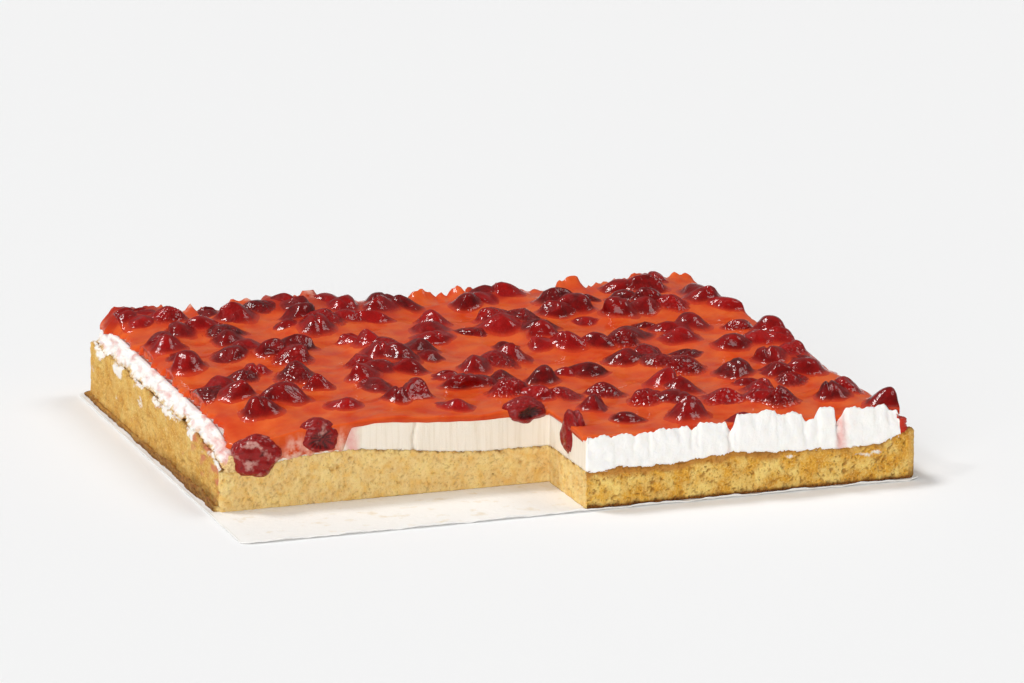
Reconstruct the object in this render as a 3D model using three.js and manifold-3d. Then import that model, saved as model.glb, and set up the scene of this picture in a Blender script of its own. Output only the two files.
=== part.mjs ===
// A raspberry sheet cake: a whole tray-baked sponge on its baking paper, with a layer of cream, a red glaze
// and raspberries, and one strip cut out of the front left corner. Millimetres, +Z up. The origin is on the
// table, under the middle of the footprint. +X runs along the front edge and +Y towards the back.
import * as THREE from "three";
import { mergeVertices } from "three/addons/utils/BufferGeometryUtils.js";
import Module from "manifold-3d";

const wasm = await Module();
wasm.setup();

// Driving dimensions. "u" is measured from the left side of the sponge and "v" from its front.
const LENGTH = 400;
const DEPTH = 346;
const CUT_LENGTH = 197;
const CUT_DEPTH = 63;
const PAPER_MARGIN = { front: 2.5, right: 2, back: 2.5, left: 7 };
const PAPER_THICKNESS = 0.8;
const PAPER_RIPPLE = 1.4;
const CRUST_LIP = 5.5;
const SPONGE_HEIGHT = 22.5;
const SPONGE_RISE = 8;
const BACK_RISE = 4;
const CORNER_RISE = 7;
const TOP_HEIGHT = 40;
const GLAZE_THICKNESS = 2.4;
const GAP = 0.3;
const FINE = 0.12;
const BERRY_FINE = 0.2;

const LEFT_X = (PAPER_MARGIN.left - PAPER_MARGIN.right - LENGTH) / 2;
const FRONT_Y = (PAPER_MARGIN.front - PAPER_MARGIN.back - DEPTH) / 2;

// Helpers: a smooth step that may run either way, a bump, and an uneven wave of slopes about 1.
const smooth = (from, to, x) => {
  const t = Math.min(1, Math.max(0, (x - from) / (to - from)));
  return t * t * (3 - 2 * t);
};
const bump = (distance, width) => Math.exp(-((distance / width) ** 2));
const wave = (x, seed) =>
  0.5 * Math.sin(x + 1.7 * seed) +
  0.3 * Math.sin(2.3 * x + 4.1 * seed + 1) +
  0.2 * Math.sin(5.1 * x + 2.9 * seed + 2);

// How much a place belongs to the left half, where the sponge has risen highest.
const leftShare = (u) => smooth(205, 125, u);

// Height of the sponge's upper face, which is low at the torn corner by the cut and high in the front corner.
function spongeTop(u, v) {
  const leftRise = SPONGE_RISE * smooth(165, 70, u) * smooth(0, 60, v);
  const rise = leftRise + BACK_RISE * (1 - leftShare(u)) * smooth(80, 320, v);
  const torn = 7 * bump(Math.hypot(u - 8, v - CUT_DEPTH), 30);
  const corner = CORNER_RISE * bump(Math.hypot(u - LENGTH, v), 16);
  const swell = 3 * bump(u - 290, 30) * bump(v, 40);
  return SPONGE_HEIGHT + rise - torn + corner + swell;
}

// Height of the glaze's upper face, which follows the sponge loosely, swells twice along the cut and sags at
// the right and back edges.
function glazeTop(u, v) {
  const left = leftShare(u);
  const rise =
    left * (5 * smooth(0, 60, v) + 3 * smooth(63, 346, v)) +
    BACK_RISE * (1 - left) * smooth(80, 320, v);
  const torn = 9 * bump(Math.hypot(u - 8, v - CUT_DEPTH), 26);
  const sag = 2.5 * bump(LENGTH - u, 9) + 1.5 * bump(DEPTH - v, 7) + 1.5 * bump(u, 14);
  const byCorner = 4.2 * bump(u - 190, 27) * bump(v - 50, 50);
  const alongCut = 2.8 * bump(u - 96, 24) * bump(v - CUT_DEPTH, 40);
  return TOP_HEIGHT + rise + byCorner + alongCut - torn - sag;
}

// Torn crags of cream along the front edge, from left to right: [its start, its height over the glaze].
const CRAGS = [
  [197, 1.5],
  [214, 2.5],
  [236, 3.5],
  [266, 5],
  [284, 2],
  [289, 8.5],
  [314, 6],
  [331, 2.5],
  [340, 8],
  [351, 2.5],
  [357, 5.5],
  [384, 3],
  [392, 0.5],
];
const CRAG_STEP = 2.5;
function crag(u) {
  let height = CRAGS[0][1];
  for (let i = 1; i < CRAGS.length; i++) {
    const [start, high] = CRAGS[i];
    height += (high - CRAGS[i - 1][1]) * smooth(start - CRAG_STEP, start + CRAG_STEP, u);
  }
  return height + 0.6 * wave(u / 3, 4) * smooth(LENGTH - 4, LENGTH - 12, u);
}

// The outline's sides, anticlockwise from the front edge. The baking paper has only the first four.
const SIDES = ["front", "right", "back", "left", "longCut", "shortCut"];

// Corners of the cake's outline after each side has moved inwards by its own inset.
function cakeCorners(inset) {
  const front = inset.front;
  const right = LENGTH - inset.right;
  const back = DEPTH - inset.back;
  const left = inset.left;
  const longCut = CUT_DEPTH + inset.longCut;
  const shortCut = CUT_LENGTH + inset.shortCut;
  return [
    [shortCut, front],
    [right, front],
    [right, back],
    [left, back],
    [left, longCut],
    [shortCut, longCut],
  ];
}

// Corners of the paper, which runs on under the cut, after each side has moved outwards by its margin.
function paperCorners(margin) {
  return [
    [-margin.left, -margin.front],
    [LENGTH + margin.right, -margin.front],
    [LENGTH + margin.right, DEPTH + margin.back],
    [-margin.left, DEPTH + margin.back],
  ];
}

const ARC_STEPS = 3;
const ARC_SHARE = 0.04;

// One ring of points round an outline, each with its place "t" along it. A corner of some radius is an arc
// that takes a small share of its side, and wobble moves a point of a side inwards.
function ring(corner, radii, spacing, wobble = () => 0, frontSpacing = spacing) {
  const n = corner.length;
  const points = [];
  corner.forEach((here, i) => {
    const before = corner[(i + n - 1) % n];
    const next = corner[(i + 1) % n];
    const along = new THREE.Vector2(next[0] - here[0], next[1] - here[1]);
    const length = along.length();
    along.normalize();
    const arriving = new THREE.Vector2(here[0] - before[0], here[1] - before[1]).normalize();
    const radius = radii[i];
    const steps = radius > 1 ? ARC_STEPS : 1;
    for (let k = 0; k <= steps; k++) {
      const turn = ((k / steps) * Math.PI) / 2;
      const back = radius * (1 - Math.sin(turn));
      const on = radius * (1 - Math.cos(turn));
      points.push({
        t: i + (ARC_SHARE * k) / steps,
        u: here[0] - arriving.x * back + along.x * on,
        v: here[1] - arriving.y * back + along.y * on,
        side: SIDES[i],
      });
    }
    const run = length - radius - radii[(i + 1) % n];
    const step = SIDES[i] === "front" ? Math.min(spacing, frontSpacing) : spacing;
    const count = Math.max(2, Math.round(length / step));
    for (let k = 1; k < count; k++) {
      const share = k / count;
      const s = radius + share * run;
      const fade = Math.min(1, 8 * share, 8 * (1 - share));
      const u = here[0] + along.x * s;
      const v = here[1] + along.y * s;
      const move = fade * wobble(SIDES[i], u, v);
      points.push({
        t: i + ARC_SHARE + (1 - ARC_SHARE) * share,
        u: u - along.y * move,
        v: v + along.x * move,
        side: SIDES[i],
      });
    }
  });
  return points;
}

// A closed geometry from rings that run from the bottom up, each {points, height}. Its ends are flat caps.
// Two rings are joined by walking round both and stepping on the one that lags.
function loft(levels) {
  const position = [];
  const index = [];
  const start = [];
  for (const { points, height } of levels) {
    start.push(position.length / 3);
    for (const p of points) position.push(p.u + LEFT_X, p.v + FRONT_Y, height(p.u, p.v, p.side));
  }
  for (let level = 0; level + 1 < levels.length; level++) {
    const low = levels[level].points;
    const high = levels[level + 1].points;
    let i = 0;
    let j = 0;
    while (i < low.length || j < high.length) {
      const a = start[level] + (i % low.length);
      const b = start[level + 1] + (j % high.length);
      const lowNext = i < low.length ? (low[i + 1]?.t ?? SIDES.length) : Infinity;
      const highNext = j < high.length ? (high[j + 1]?.t ?? SIDES.length) : Infinity;
      if (lowNext <= highNext) {
        i += 1;
        index.push(a, start[level] + (i % low.length), b);
      } else {
        j += 1;
        index.push(a, start[level + 1] + (j % high.length), b);
      }
    }
  }
  const cap = (points) =>
    THREE.ShapeUtils.triangulateShape(
      points.map((p) => new THREE.Vector2(p.u, p.v)),
      [],
    );
  for (const [a, b, c] of cap(levels[0].points)) index.push(a, c, b);
  const last = start.at(-1);
  for (const [a, b, c] of cap(levels.at(-1).points)) index.push(last + a, last + b, last + c);
  const geometry = new THREE.BufferGeometry();
  geometry.setAttribute("position", new THREE.Float32BufferAttribute(position, 3));
  geometry.setIndex(index);
  return geometry;
}

// Conversions between a closed geometry and a solid that can be joined and cut.
function toSolid(geometry) {
  const bare = new THREE.BufferGeometry();
  bare.setAttribute("position", geometry.getAttribute("position"));
  if (geometry.index) bare.setIndex(geometry.index);
  const merged = mergeVertices(bare, 1e-3);
  return new wasm.Manifold(
    new wasm.Mesh({
      numProp: 3,
      vertProperties: new Float32Array(merged.attributes.position.array),
      triVerts: new Uint32Array(merged.index.array),
    }),
  );
}
function toGeometry(solid) {
  const mesh = solid.getMesh();
  const geometry = new THREE.BufferGeometry();
  geometry.setAttribute("position", new THREE.BufferAttribute(mesh.vertProperties, 3));
  geometry.setIndex(new THREE.BufferAttribute(mesh.triVerts, 1));
  geometry.computeVertexNormals();
  return geometry;
}
const largest = (solid) => solid.decompose().sort((a, b) => b.volume() - a.volume())[0];

const even = (d) => ({ front: d, right: d, back: d, left: d, longCut: d, shortCut: d });
const baked = (d, cut = 0) => ({ ...even(d), longCut: cut, shortCut: cut });
const edge = (inset, ...rest) => ring(cakeCorners(inset), ...rest);
const isCut = (side) => side.endsWith("Cut");

// Two coarse rings that carry the broad shape of an upper face from near its edge to its middle.
const middle = (first, height) => [
  { points: edge(even(first), [1, 1, 1, 1, 1, 1 + first / 2], 24), height },
  { points: edge(even(84), [1, 1, 1, 1, 1, 56], 40), height },
];

// The baking paper: a thin flat sheet, whose edge stands up in ripples round the cake.
function makePaper() {
  const slack = { front: 2.2, right: 1.6, back: 2.2, left: 0.8 };
  const foot = Object.fromEntries(
    Object.entries(PAPER_MARGIN).map(([side, margin]) => [side, margin - slack[side]]),
  );
  const spacing = 19;
  const fray = (side, u, v) => slack[side] * (0.3 + 0.3 * wave((u + v) / 5, SIDES.indexOf(side)));
  const lift = (u, v) => 0.2 + PAPER_RIPPLE * (0.5 + 0.5 * wave((u - v) / 7, 3));
  const outer = paperCorners(PAPER_MARGIN);
  const inner = paperCorners(foot);
  return loft([
    { points: ring(inner, [1, 5, 9, 4], spacing), height: () => 0 },
    { points: ring(outer, [2, 5, 9, 4], spacing, fray), height: lift },
    { points: ring(outer, [2, 5, 9, 4], spacing, fray), height: (u, v) => lift(u, v) + 0.45 },
    { points: ring(inner, [1, 5, 9, 4], spacing), height: () => PAPER_THICKNESS },
  ]);
}

// The sponge: baked sides with a browned rim, a thin lip of crust along the foot of the left side, and two
// cut faces.
function makeSponge() {
  const spacing = 16;
  const uneven = (amount, seed) => (side, u, v) =>
    isCut(side) ? 0 : amount * (0.5 + 0.5 * wave((u + 1.3 * v) / 11, seed));
  const rim = (u, v, side) =>
    spongeTop(u, v) + (isCut(side) ? 0 : 0.8 + 1.2 * wave((u - v) / 9, 5));
  const radii = [0.8, 5, 14, 4, 2, 0.8];
  const foot = PAPER_THICKNESS;
  return loft([
    { points: edge({ ...baked(0.8), left: -CRUST_LIP }, radii, spacing), height: () => foot },
    {
      points: edge({ ...baked(0.8), left: 0.6 - CRUST_LIP }, radii, spacing),
      height: () => foot + 1.6,
    },
    { points: edge({ ...baked(0.4), left: 0.2 }, radii, spacing), height: () => foot + 3 },
    {
      points: edge(baked(0), radii, spacing, uneven(0.8, 2)),
      height: (u, v, side) => rim(u, v, side) - 2.2,
    },
    { points: edge({ ...baked(1.8, 0.2), front: 0.8 }, radii, spacing, uneven(0.8, 2)), height: rim },
    { points: edge(baked(7, 5), [0.8, 3, 9, 2, 1, 3], 16), height: spongeTop },
    ...middle(38, spongeTop),
  ]);
}

// The cream as a block that reaches down into the sponge. Its front stands up in crags before the glaze.
const CREAM_FOOT = { front: 1.8, right: 3.5, back: 3, left: 3, longCut: 0.4, shortCut: 0.4 };
const CREAM_SHOULDER = { front: 1.4, right: 5.5, back: 4.2, left: 7, longCut: 0.4, shortCut: 0.4 };
const CREAM_CREST = { front: 5, right: 8, back: 7, left: 10, longCut: 3, shortCut: 3 };
const creamTop = (u, v) => glazeTop(u, v) - GLAZE_THICKNESS - GAP;
function makeCream() {
  const spacing = 17;
  const fine = 4.5;
  const radii = [1, 6, 11, 5, 2, 1];
  const torn = (amount, seed) => (side, u, v) =>
    isCut(side) ? 0 : amount * (0.5 + 0.5 * wave((u + 1.1 * v) / 6, seed));
  const brim = (u, v, side) =>
    creamTop(u, v) + (side === "front" ? GLAZE_THICKNESS + crag(u) : 0.4);
  const brimInset = { ...CREAM_SHOULDER, front: 1.9, longCut: 0.6, shortCut: 0.6 };
  return loft([
    { points: edge(CREAM_FOOT, radii, spacing), height: () => 12 },
    {
      points: edge(CREAM_FOOT, radii, spacing, torn(1.5, 7)),
      height: (u, v) => spongeTop(u, v) + 2,
    },
    {
      points: edge(CREAM_SHOULDER, radii, spacing, torn(1, 8), fine),
      height: (u, v) => creamTop(u, v) - 2.5,
    },
    { points: edge(brimInset, radii, spacing, torn(1, 8), fine), height: brim },
    {
      points: edge(CREAM_CREST, radii, spacing, torn(1, 8), fine),
      height: (u, v, side) => creamTop(u, v) + (side === "front" ? 0.6 * crag(u) : 0),
    },
    { points: edge(even(13), [1, 3, 8, 3, 1, 3], 20), height: creamTop },
    ...middle(36, creamTop),
  ]);
}

// The glaze as a block that reaches down into the cream, with a ragged edge behind the crags. On the cuts the
// block's foot lies further in, so none of it stands before the cream.
const GLAZE_INSET = { front: 6.5, right: 6.8, back: 5.6, left: 8.6, longCut: 0.4, shortCut: 0.4 };
function makeGlaze() {
  const spacing = 18;
  const radii = [2, 7, 12, 6, 3, 1];
  const ragged = (side, u, v) =>
    isCut(side) ? 0 : 1.4 + 1.4 * wave((u - 1.2 * v) / 8, 11);
  const rounded = Object.fromEntries(
    SIDES.map((side) => [side, GLAZE_INSET[side] + 1.6]),
  );
  const foot = { ...GLAZE_INSET, longCut: 1.2, shortCut: 1.2 };
  return loft([
    { points: edge(foot, radii, spacing, ragged), height: (u, v) => creamTop(u, v) - 2 },
    { points: edge(GLAZE_INSET, radii, spacing, ragged), height: (u, v) => glazeTop(u, v) - 1 },
    { points: edge(rounded, radii, spacing, ragged), height: glazeTop },
    ...middle(36, glazeTop),
  ]);
}

// Raspberries placed by eye, in groups that touch: each is [u, v, radius, height over the glaze].
const PLACED = [
  [[269, 29, 12, 12]],
  [[235, 36, 9.5, 6]],
  [[223, 60, 8.5, 9]],
  [[386, 17, 11, 12]],
  [[243, 92, 10.5, 9]],
  [[301, 56, 11.5, 9]],
  [[288, 84, 10, 10], [280, 98, 10, 11]],
  [[365, 43, 10, 10], [377, 54, 10, 9]],
  [[332, 40, 10, 11], [322, 51, 9, 7], [328, 65, 10, 9]],
  [[330, 110, 11, 9]],
  [[354, 103, 10.5, 9], [370, 98, 11, 10]],
  [[249, 140, 11, 8]],
  [[216, 128, 10, 11]],
  [[57, 120, 12.5, 12]],
  [[36, 100, 10.5, 11]],
  [[85, 98, 10.5, 6]],
  [[147, 81, 9.5, 6]],
  [[129, 103, 9.5, 12], [116, 97, 8, 9]],
  [[83, 140, 8, 10]],
  [[77, 165, 12, 11]],
  [[24, 206, 11, 12]],
  [[23, 250, 10, 10], [24, 265, 10, 9]],
  [[83, 306, 12, 12]],
  [[116, 130, 10.5, 6]],
  [[167, 127, 10.5, 9], [181, 131, 9.5, 6]],
];

// Raspberries laid bare by the knife: [u, v, height of the middle, half size along x, y and z].
const BARED = [
  [22, 65, 30, 11, 9.5, 8],
  [60, 67, 38.5, 11, 8.5, 8],
  [184, 68, 43, 11.5, 9, 6.5],
  [201, 33, 37, 6.5, 9, 10],
];

const GROUPS = 50;
const EDGE_ROOM = 14;
const TOUCH = 0.8;
const CLEAR = 0.9;
const SMALL_BERRY = 9.6;
const BERRY_SPREAD = 2.2;
const CANDIDATES = 80;
const GROWTH_TRIES = 24;

// Draws numbers from 0 to 1 by a minimal linear congruence, so every run lays the same berries.
let state = 20260;
const draw = () => {
  state = (state * 48271) % 2147483647;
  return state / 2147483647;
};

// True if a berry keeps to the glaze and clear of every berry of another group.
function hasRoom(berry, group, berries) {
  const { u, v, radius } = berry;
  const onCake =
    u > EDGE_ROOM &&
    u < LENGTH - EDGE_ROOM &&
    v < DEPTH - EDGE_ROOM &&
    v > (u < CUT_LENGTH + EDGE_ROOM ? CUT_DEPTH : 0) + EDGE_ROOM;
  const away = (b) => Math.hypot(b.u - u, b.v - v) > b.radius + radius + 2 * GAP + 0.6;
  const clear = ([bu, bv, , size]) => Math.hypot(bu - u, bv - v) > size + radius + 1;
  return onCake && BARED.every(clear) && berries.every((b) => b.group === group || away(b));
}

// Every berry on the glaze: the placed groups first, then each group where most room is left among random
// places. A group grows from its first berry to three, four or five that touch.
function layBerries() {
  const berries = [];
  PLACED.forEach((group, i) => {
    for (const [u, v, radius, height] of group) berries.push({ u, v, radius, height, group: i });
  });
  const fresh = (u, v) => ({
    u,
    v,
    radius: SMALL_BERRY + BERRY_SPREAD * draw(),
    height: 6.5 + 5.5 * draw(),
  });
  for (let group = PLACED.length; group < GROUPS; group++) {
    let first = null;
    let most = 0;
    for (let k = 0; k < CANDIDATES; k++) {
      const berry = fresh(LENGTH * draw(), DEPTH * draw());
      const room = Math.min(...berries.map((b) => Math.hypot(b.u - berry.u, b.v - berry.v)));
      if (room > most && hasRoom(berry, group, berries)) {
        first = berry;
        most = room;
      }
    }
    if (!first) break;
    const found = [first];
    const wanted = 3 + Math.floor(3 * draw());
    for (let k = 0; k < GROWTH_TRIES && found.length < wanted; k++) {
      const from = found[Math.floor(found.length * draw())];
      const next = fresh(0, 0);
      const angle = 2 * Math.PI * draw();
      const step = TOUCH * (from.radius + next.radius);
      next.u = from.u + step * Math.cos(angle);
      next.v = from.v + step * Math.sin(angle);
      const isClear = (b) =>
        b === from || Math.hypot(b.u - next.u, b.v - next.v) > CLEAR * (b.radius + next.radius);
      if (found.every(isClear) && hasRoom(next, group, berries)) found.push(next);
    }
    for (const berry of found) berries.push({ ...berry, group });
  }
  return berries;
}

// A raspberry under its film of glaze: a blunt cone that stands on the glaze, a little longer one way.
function berryDome({ u, v, radius, height }) {
  const dome = new THREE.SphereGeometry(1, 6, 4).rotateX(Math.PI / 2);
  const place = dome.getAttribute("position");
  const turn = u * 0.37 + v * 0.53;
  for (let i = 0; i < place.count; i++) {
    const z = place.getZ(i);
    const taper = z > 0 ? 1 - 0.3 * z : 1;
    const x = place.getX(i) * radius * taper;
    const y = place.getY(i) * radius * 0.94 * taper + 0.12 * radius * Math.max(0, z);
    place.setXYZ(
      i,
      x * Math.cos(turn) - y * Math.sin(turn),
      x * Math.sin(turn) + y * Math.cos(turn),
      z > 0 ? z * (height - 1.5) : z * 5,
    );
  }
  return dome.translate(u + LEFT_X, v + FRONT_Y, glazeTop(u, v) + 1.5);
}

// A bared raspberry, grown by "extra" where it is the cutter of its own pocket.
function baredBerry([u, v, z, a, b, c], extra = 0) {
  return new THREE.SphereGeometry(1, 9, 6)
    .rotateX(Math.PI / 2)
    .scale(a + extra, b + extra, c + extra)
    .translate(u + LEFT_X, v + FRONT_Y, z);
}

const FINISH = {
  paper: { color: 0xf2f0ea, roughness: 0.8 },
  sponge: { color: 0xc88a2c, roughness: 0.9 },
  cream: { color: 0xf5f2ea, roughness: 0.6 },
  glaze: { color: 0xcf3416, roughness: 0.15 },
  berry: { color: 0x6d0710, roughness: 0.15 },
};
const cake = new THREE.Group();
function addPiece(name, finish, solid) {
  const material = new THREE.MeshStandardMaterial({ ...FINISH[finish], metalness: 0 });
  const mesh = new THREE.Mesh(toGeometry(largest(solid)), material);
  mesh.name = name;
  cake.add(mesh);
}

const lifted = (solid) => solid.translate([0, 0, GAP]);
const sponge = toSolid(makeSponge());
const cream = largest(toSolid(makeCream()).subtract(lifted(sponge)));
const glazeBlock = toSolid(makeGlaze());
const glaze = largest(glazeBlock.subtract(lifted(cream)));
const pockets = BARED.map((berry) => toSolid(baredBerry(berry, GAP)));
const emptied = (solid) => pockets.reduce((rest, pocket) => rest.subtract(pocket), solid);
addPiece("baking_paper", "paper", toSolid(makePaper()));
addPiece("sponge", "sponge", emptied(sponge).simplify(FINE));
addPiece("cream", "cream", emptied(cream).simplify(FINE));
addPiece("glaze", "glaze", emptied(glaze).simplify(FINE));
BARED.forEach((berry, i) => addPiece(`bared_berry_${i + 1}`, "berry", toSolid(baredBerry(berry))));

const floor = lifted(glazeBlock);
const groups = Map.groupBy(layBerries(), (berry) => berry.group);
groups.forEach((berries, group) => {
  const joined = berries.map((b) => toSolid(berryDome(b))).reduce((a, b) => a.add(b));
  const resting = largest(joined.subtract(floor)).subtract(lifted(cream)).simplify(BERRY_FINE);
  addPiece(`berries_${String(group + 1).padStart(2, "0")}`, "berry", resting);
});

export default cake;
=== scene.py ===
"""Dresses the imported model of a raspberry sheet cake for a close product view.

The cake is a tray-baked sponge on baking paper, with whipped cream, a red glaze and raspberries, and one
strip cut out of its front left corner. Sizes are millimetres on the cake: u runs from its left side, v from
its front and z up from the table. CakePlan.to_frame turns them to metres in the shared frame.
"""

import logging
import math
from dataclasses import dataclass, field
from enum import Enum

import bpy
import numpy as np
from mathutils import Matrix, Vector

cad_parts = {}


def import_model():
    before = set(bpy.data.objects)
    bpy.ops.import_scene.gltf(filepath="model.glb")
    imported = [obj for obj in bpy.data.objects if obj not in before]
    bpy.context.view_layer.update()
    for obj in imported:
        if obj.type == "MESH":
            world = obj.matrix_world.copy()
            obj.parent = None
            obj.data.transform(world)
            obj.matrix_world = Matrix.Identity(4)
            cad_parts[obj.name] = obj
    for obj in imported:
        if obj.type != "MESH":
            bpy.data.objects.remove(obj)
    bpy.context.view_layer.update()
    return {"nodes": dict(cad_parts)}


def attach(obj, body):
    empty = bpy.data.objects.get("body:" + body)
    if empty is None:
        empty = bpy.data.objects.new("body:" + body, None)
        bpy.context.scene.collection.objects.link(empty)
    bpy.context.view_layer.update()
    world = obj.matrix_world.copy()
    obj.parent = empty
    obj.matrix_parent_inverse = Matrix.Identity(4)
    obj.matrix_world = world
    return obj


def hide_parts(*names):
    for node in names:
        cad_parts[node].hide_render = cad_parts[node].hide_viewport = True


LOG = logging.getLogger("sheet_cake")
Array = np.ndarray
Value = Array | float
Numbers = tuple[float, ...]
Rows = tuple[Numbers, ...]
Piece = bpy.types.Object
Material = bpy.types.Material
Socket = bpy.types.NodeSocket
MM = 0.001
TURN = 2.0 * math.pi
NEARLY_TURN = 6.28
EVER = math.inf


class Side(Enum):
    """The six sides of the cake's outline, anticlockwise from the front edge."""

    FRONT = 0
    RIGHT = 1
    BACK = 2
    LEFT = 3
    LONG_CUT = 4
    SHORT_CUT = 5


# Numbers


def smooth(start: float, end: float, x: Value) -> Array:
    """Steps smoothly from 0 at start to 1 at end, by the cubic 3t² - 2t³, and may run either way."""
    t = np.clip((np.asarray(x, float) - start) / (end - start), 0.0, 1.0)
    return t * t * (3.0 - 2.0 * t)


def bump(distance: Value, width: float) -> Array:
    """A bell of height 1: e to the power of minus (distance / width) squared."""
    return np.exp(-((np.asarray(distance, float) / width) ** 2))


def fade(distance: Value, reach: Value) -> Array:
    """Falls from 1 as e to the power of minus distance / reach, and is 1 at a distance below 0."""
    return np.exp(-np.clip(distance, 0.0, None) / reach)


def wave(x: Array, seed: float) -> Array:
    """An uneven wave: three sines of rising pace and falling height, shifted by the seed."""
    slow, middle, quick = x + 1.7 * seed, 2.3 * x + 4.1 * seed + 1.0, 5.1 * x + 2.9 * seed + 2.0
    return 0.5 * np.sin(slow) + 0.3 * np.sin(middle) + 0.2 * np.sin(quick)


def ripple(x: Value, y: Value, length: float, seed: int) -> Array:
    """Soft relief between about -1 and 1: eight sines of seeded direction, pace and shift, summed over four.

    Args:
        x: first coordinate in millimetres.
        y: second coordinate in millimetres, or 0 for relief along a line.
        length: typical distance between two swells, in millimetres.
        seed: picks the sines.

    Returns:
        The relief at each place.
    """
    rng = np.random.default_rng(seed)
    total = np.zeros(np.broadcast(x, y).shape)
    for _ in range(8):
        angle, shift = rng.uniform(0.0, TURN, 2)
        pace = TURN / (length * rng.uniform(0.7, 1.5))
        total += np.sin(pace * (x * math.cos(angle) + y * math.sin(angle)) + shift)
    return total / 4.0


def ripples(x: Value, y: Value, rows: Rows) -> Array:
    """A sum of ripples, where a row gives the height, the length and the seed of each."""
    return sum(height * ripple(x, y, length, seed) for height, length, seed in rows)


def hash01(i: Array, j: Array, seed: int) -> Array:
    """A repeatable random number from 0 to 1 for each pair of whole numbers."""
    mixed = np.sin(i * 127.1 + j * 311.7 + seed * 74.7) * 43758.5453
    return mixed - np.floor(mixed)


def pores(x: Array, y: Array, cell: float, share: float, seed: int) -> Array:
    """Round pits like the pores of a crumb.

    Each square cell of a grid holds at most one pit, at a random place and of a random size. The depth is 1
    at a pit's middle and falls to 0 at its rim as the square root of 1 - r².

    Args:
        x: first coordinate on the wall in millimetres.
        y: second coordinate on the wall in millimetres.
        cell: size of a cell in millimetres.
        share: the part of all cells that hold a pit, from 0 to 1.
        seed: picks places and sizes.

    Returns:
        The pits' depth at each place, from 0 to 1.
    """
    cell_x, cell_y = np.floor(x / cell), np.floor(y / cell)
    depth = np.zeros(np.broadcast(x, y).shape)
    for i, j in ((cell_x + a, cell_y + b) for a in (-1, 0, 1) for b in (-1, 0, 1)):
        pit_x, pit_y = (i + hash01(i, j, seed)) * cell, (j + hash01(i, j, seed + 1)) * cell
        radius = cell * (0.18 + 0.34 * hash01(i, j, seed + 2) ** 2)
        r = np.hypot(x - pit_x, (y - pit_y) * 1.15) / radius
        pit = np.sqrt(np.clip(1.0 - r * r, 0.0, 1.0)) * (hash01(i, j, seed + 3) < share)
        depth = np.maximum(depth, pit)
    return depth


# The cake's plan


@dataclass(frozen=True)
class Dome:
    """A soft rise of the cake, or a hollow where its height is below 0, in millimetres.

    An endless reach along one axis makes it a ridge along an edge.
    """

    height: float
    u: float
    v: float
    reach_u: float
    reach_v: float

    def at(self, u: Array, v: Array) -> Array:
        """Its height at each place: a bell along u times a bell along v."""
        return self.height * bump(u - self.u, self.reach_u) * bump(v - self.v, self.reach_v)


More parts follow.
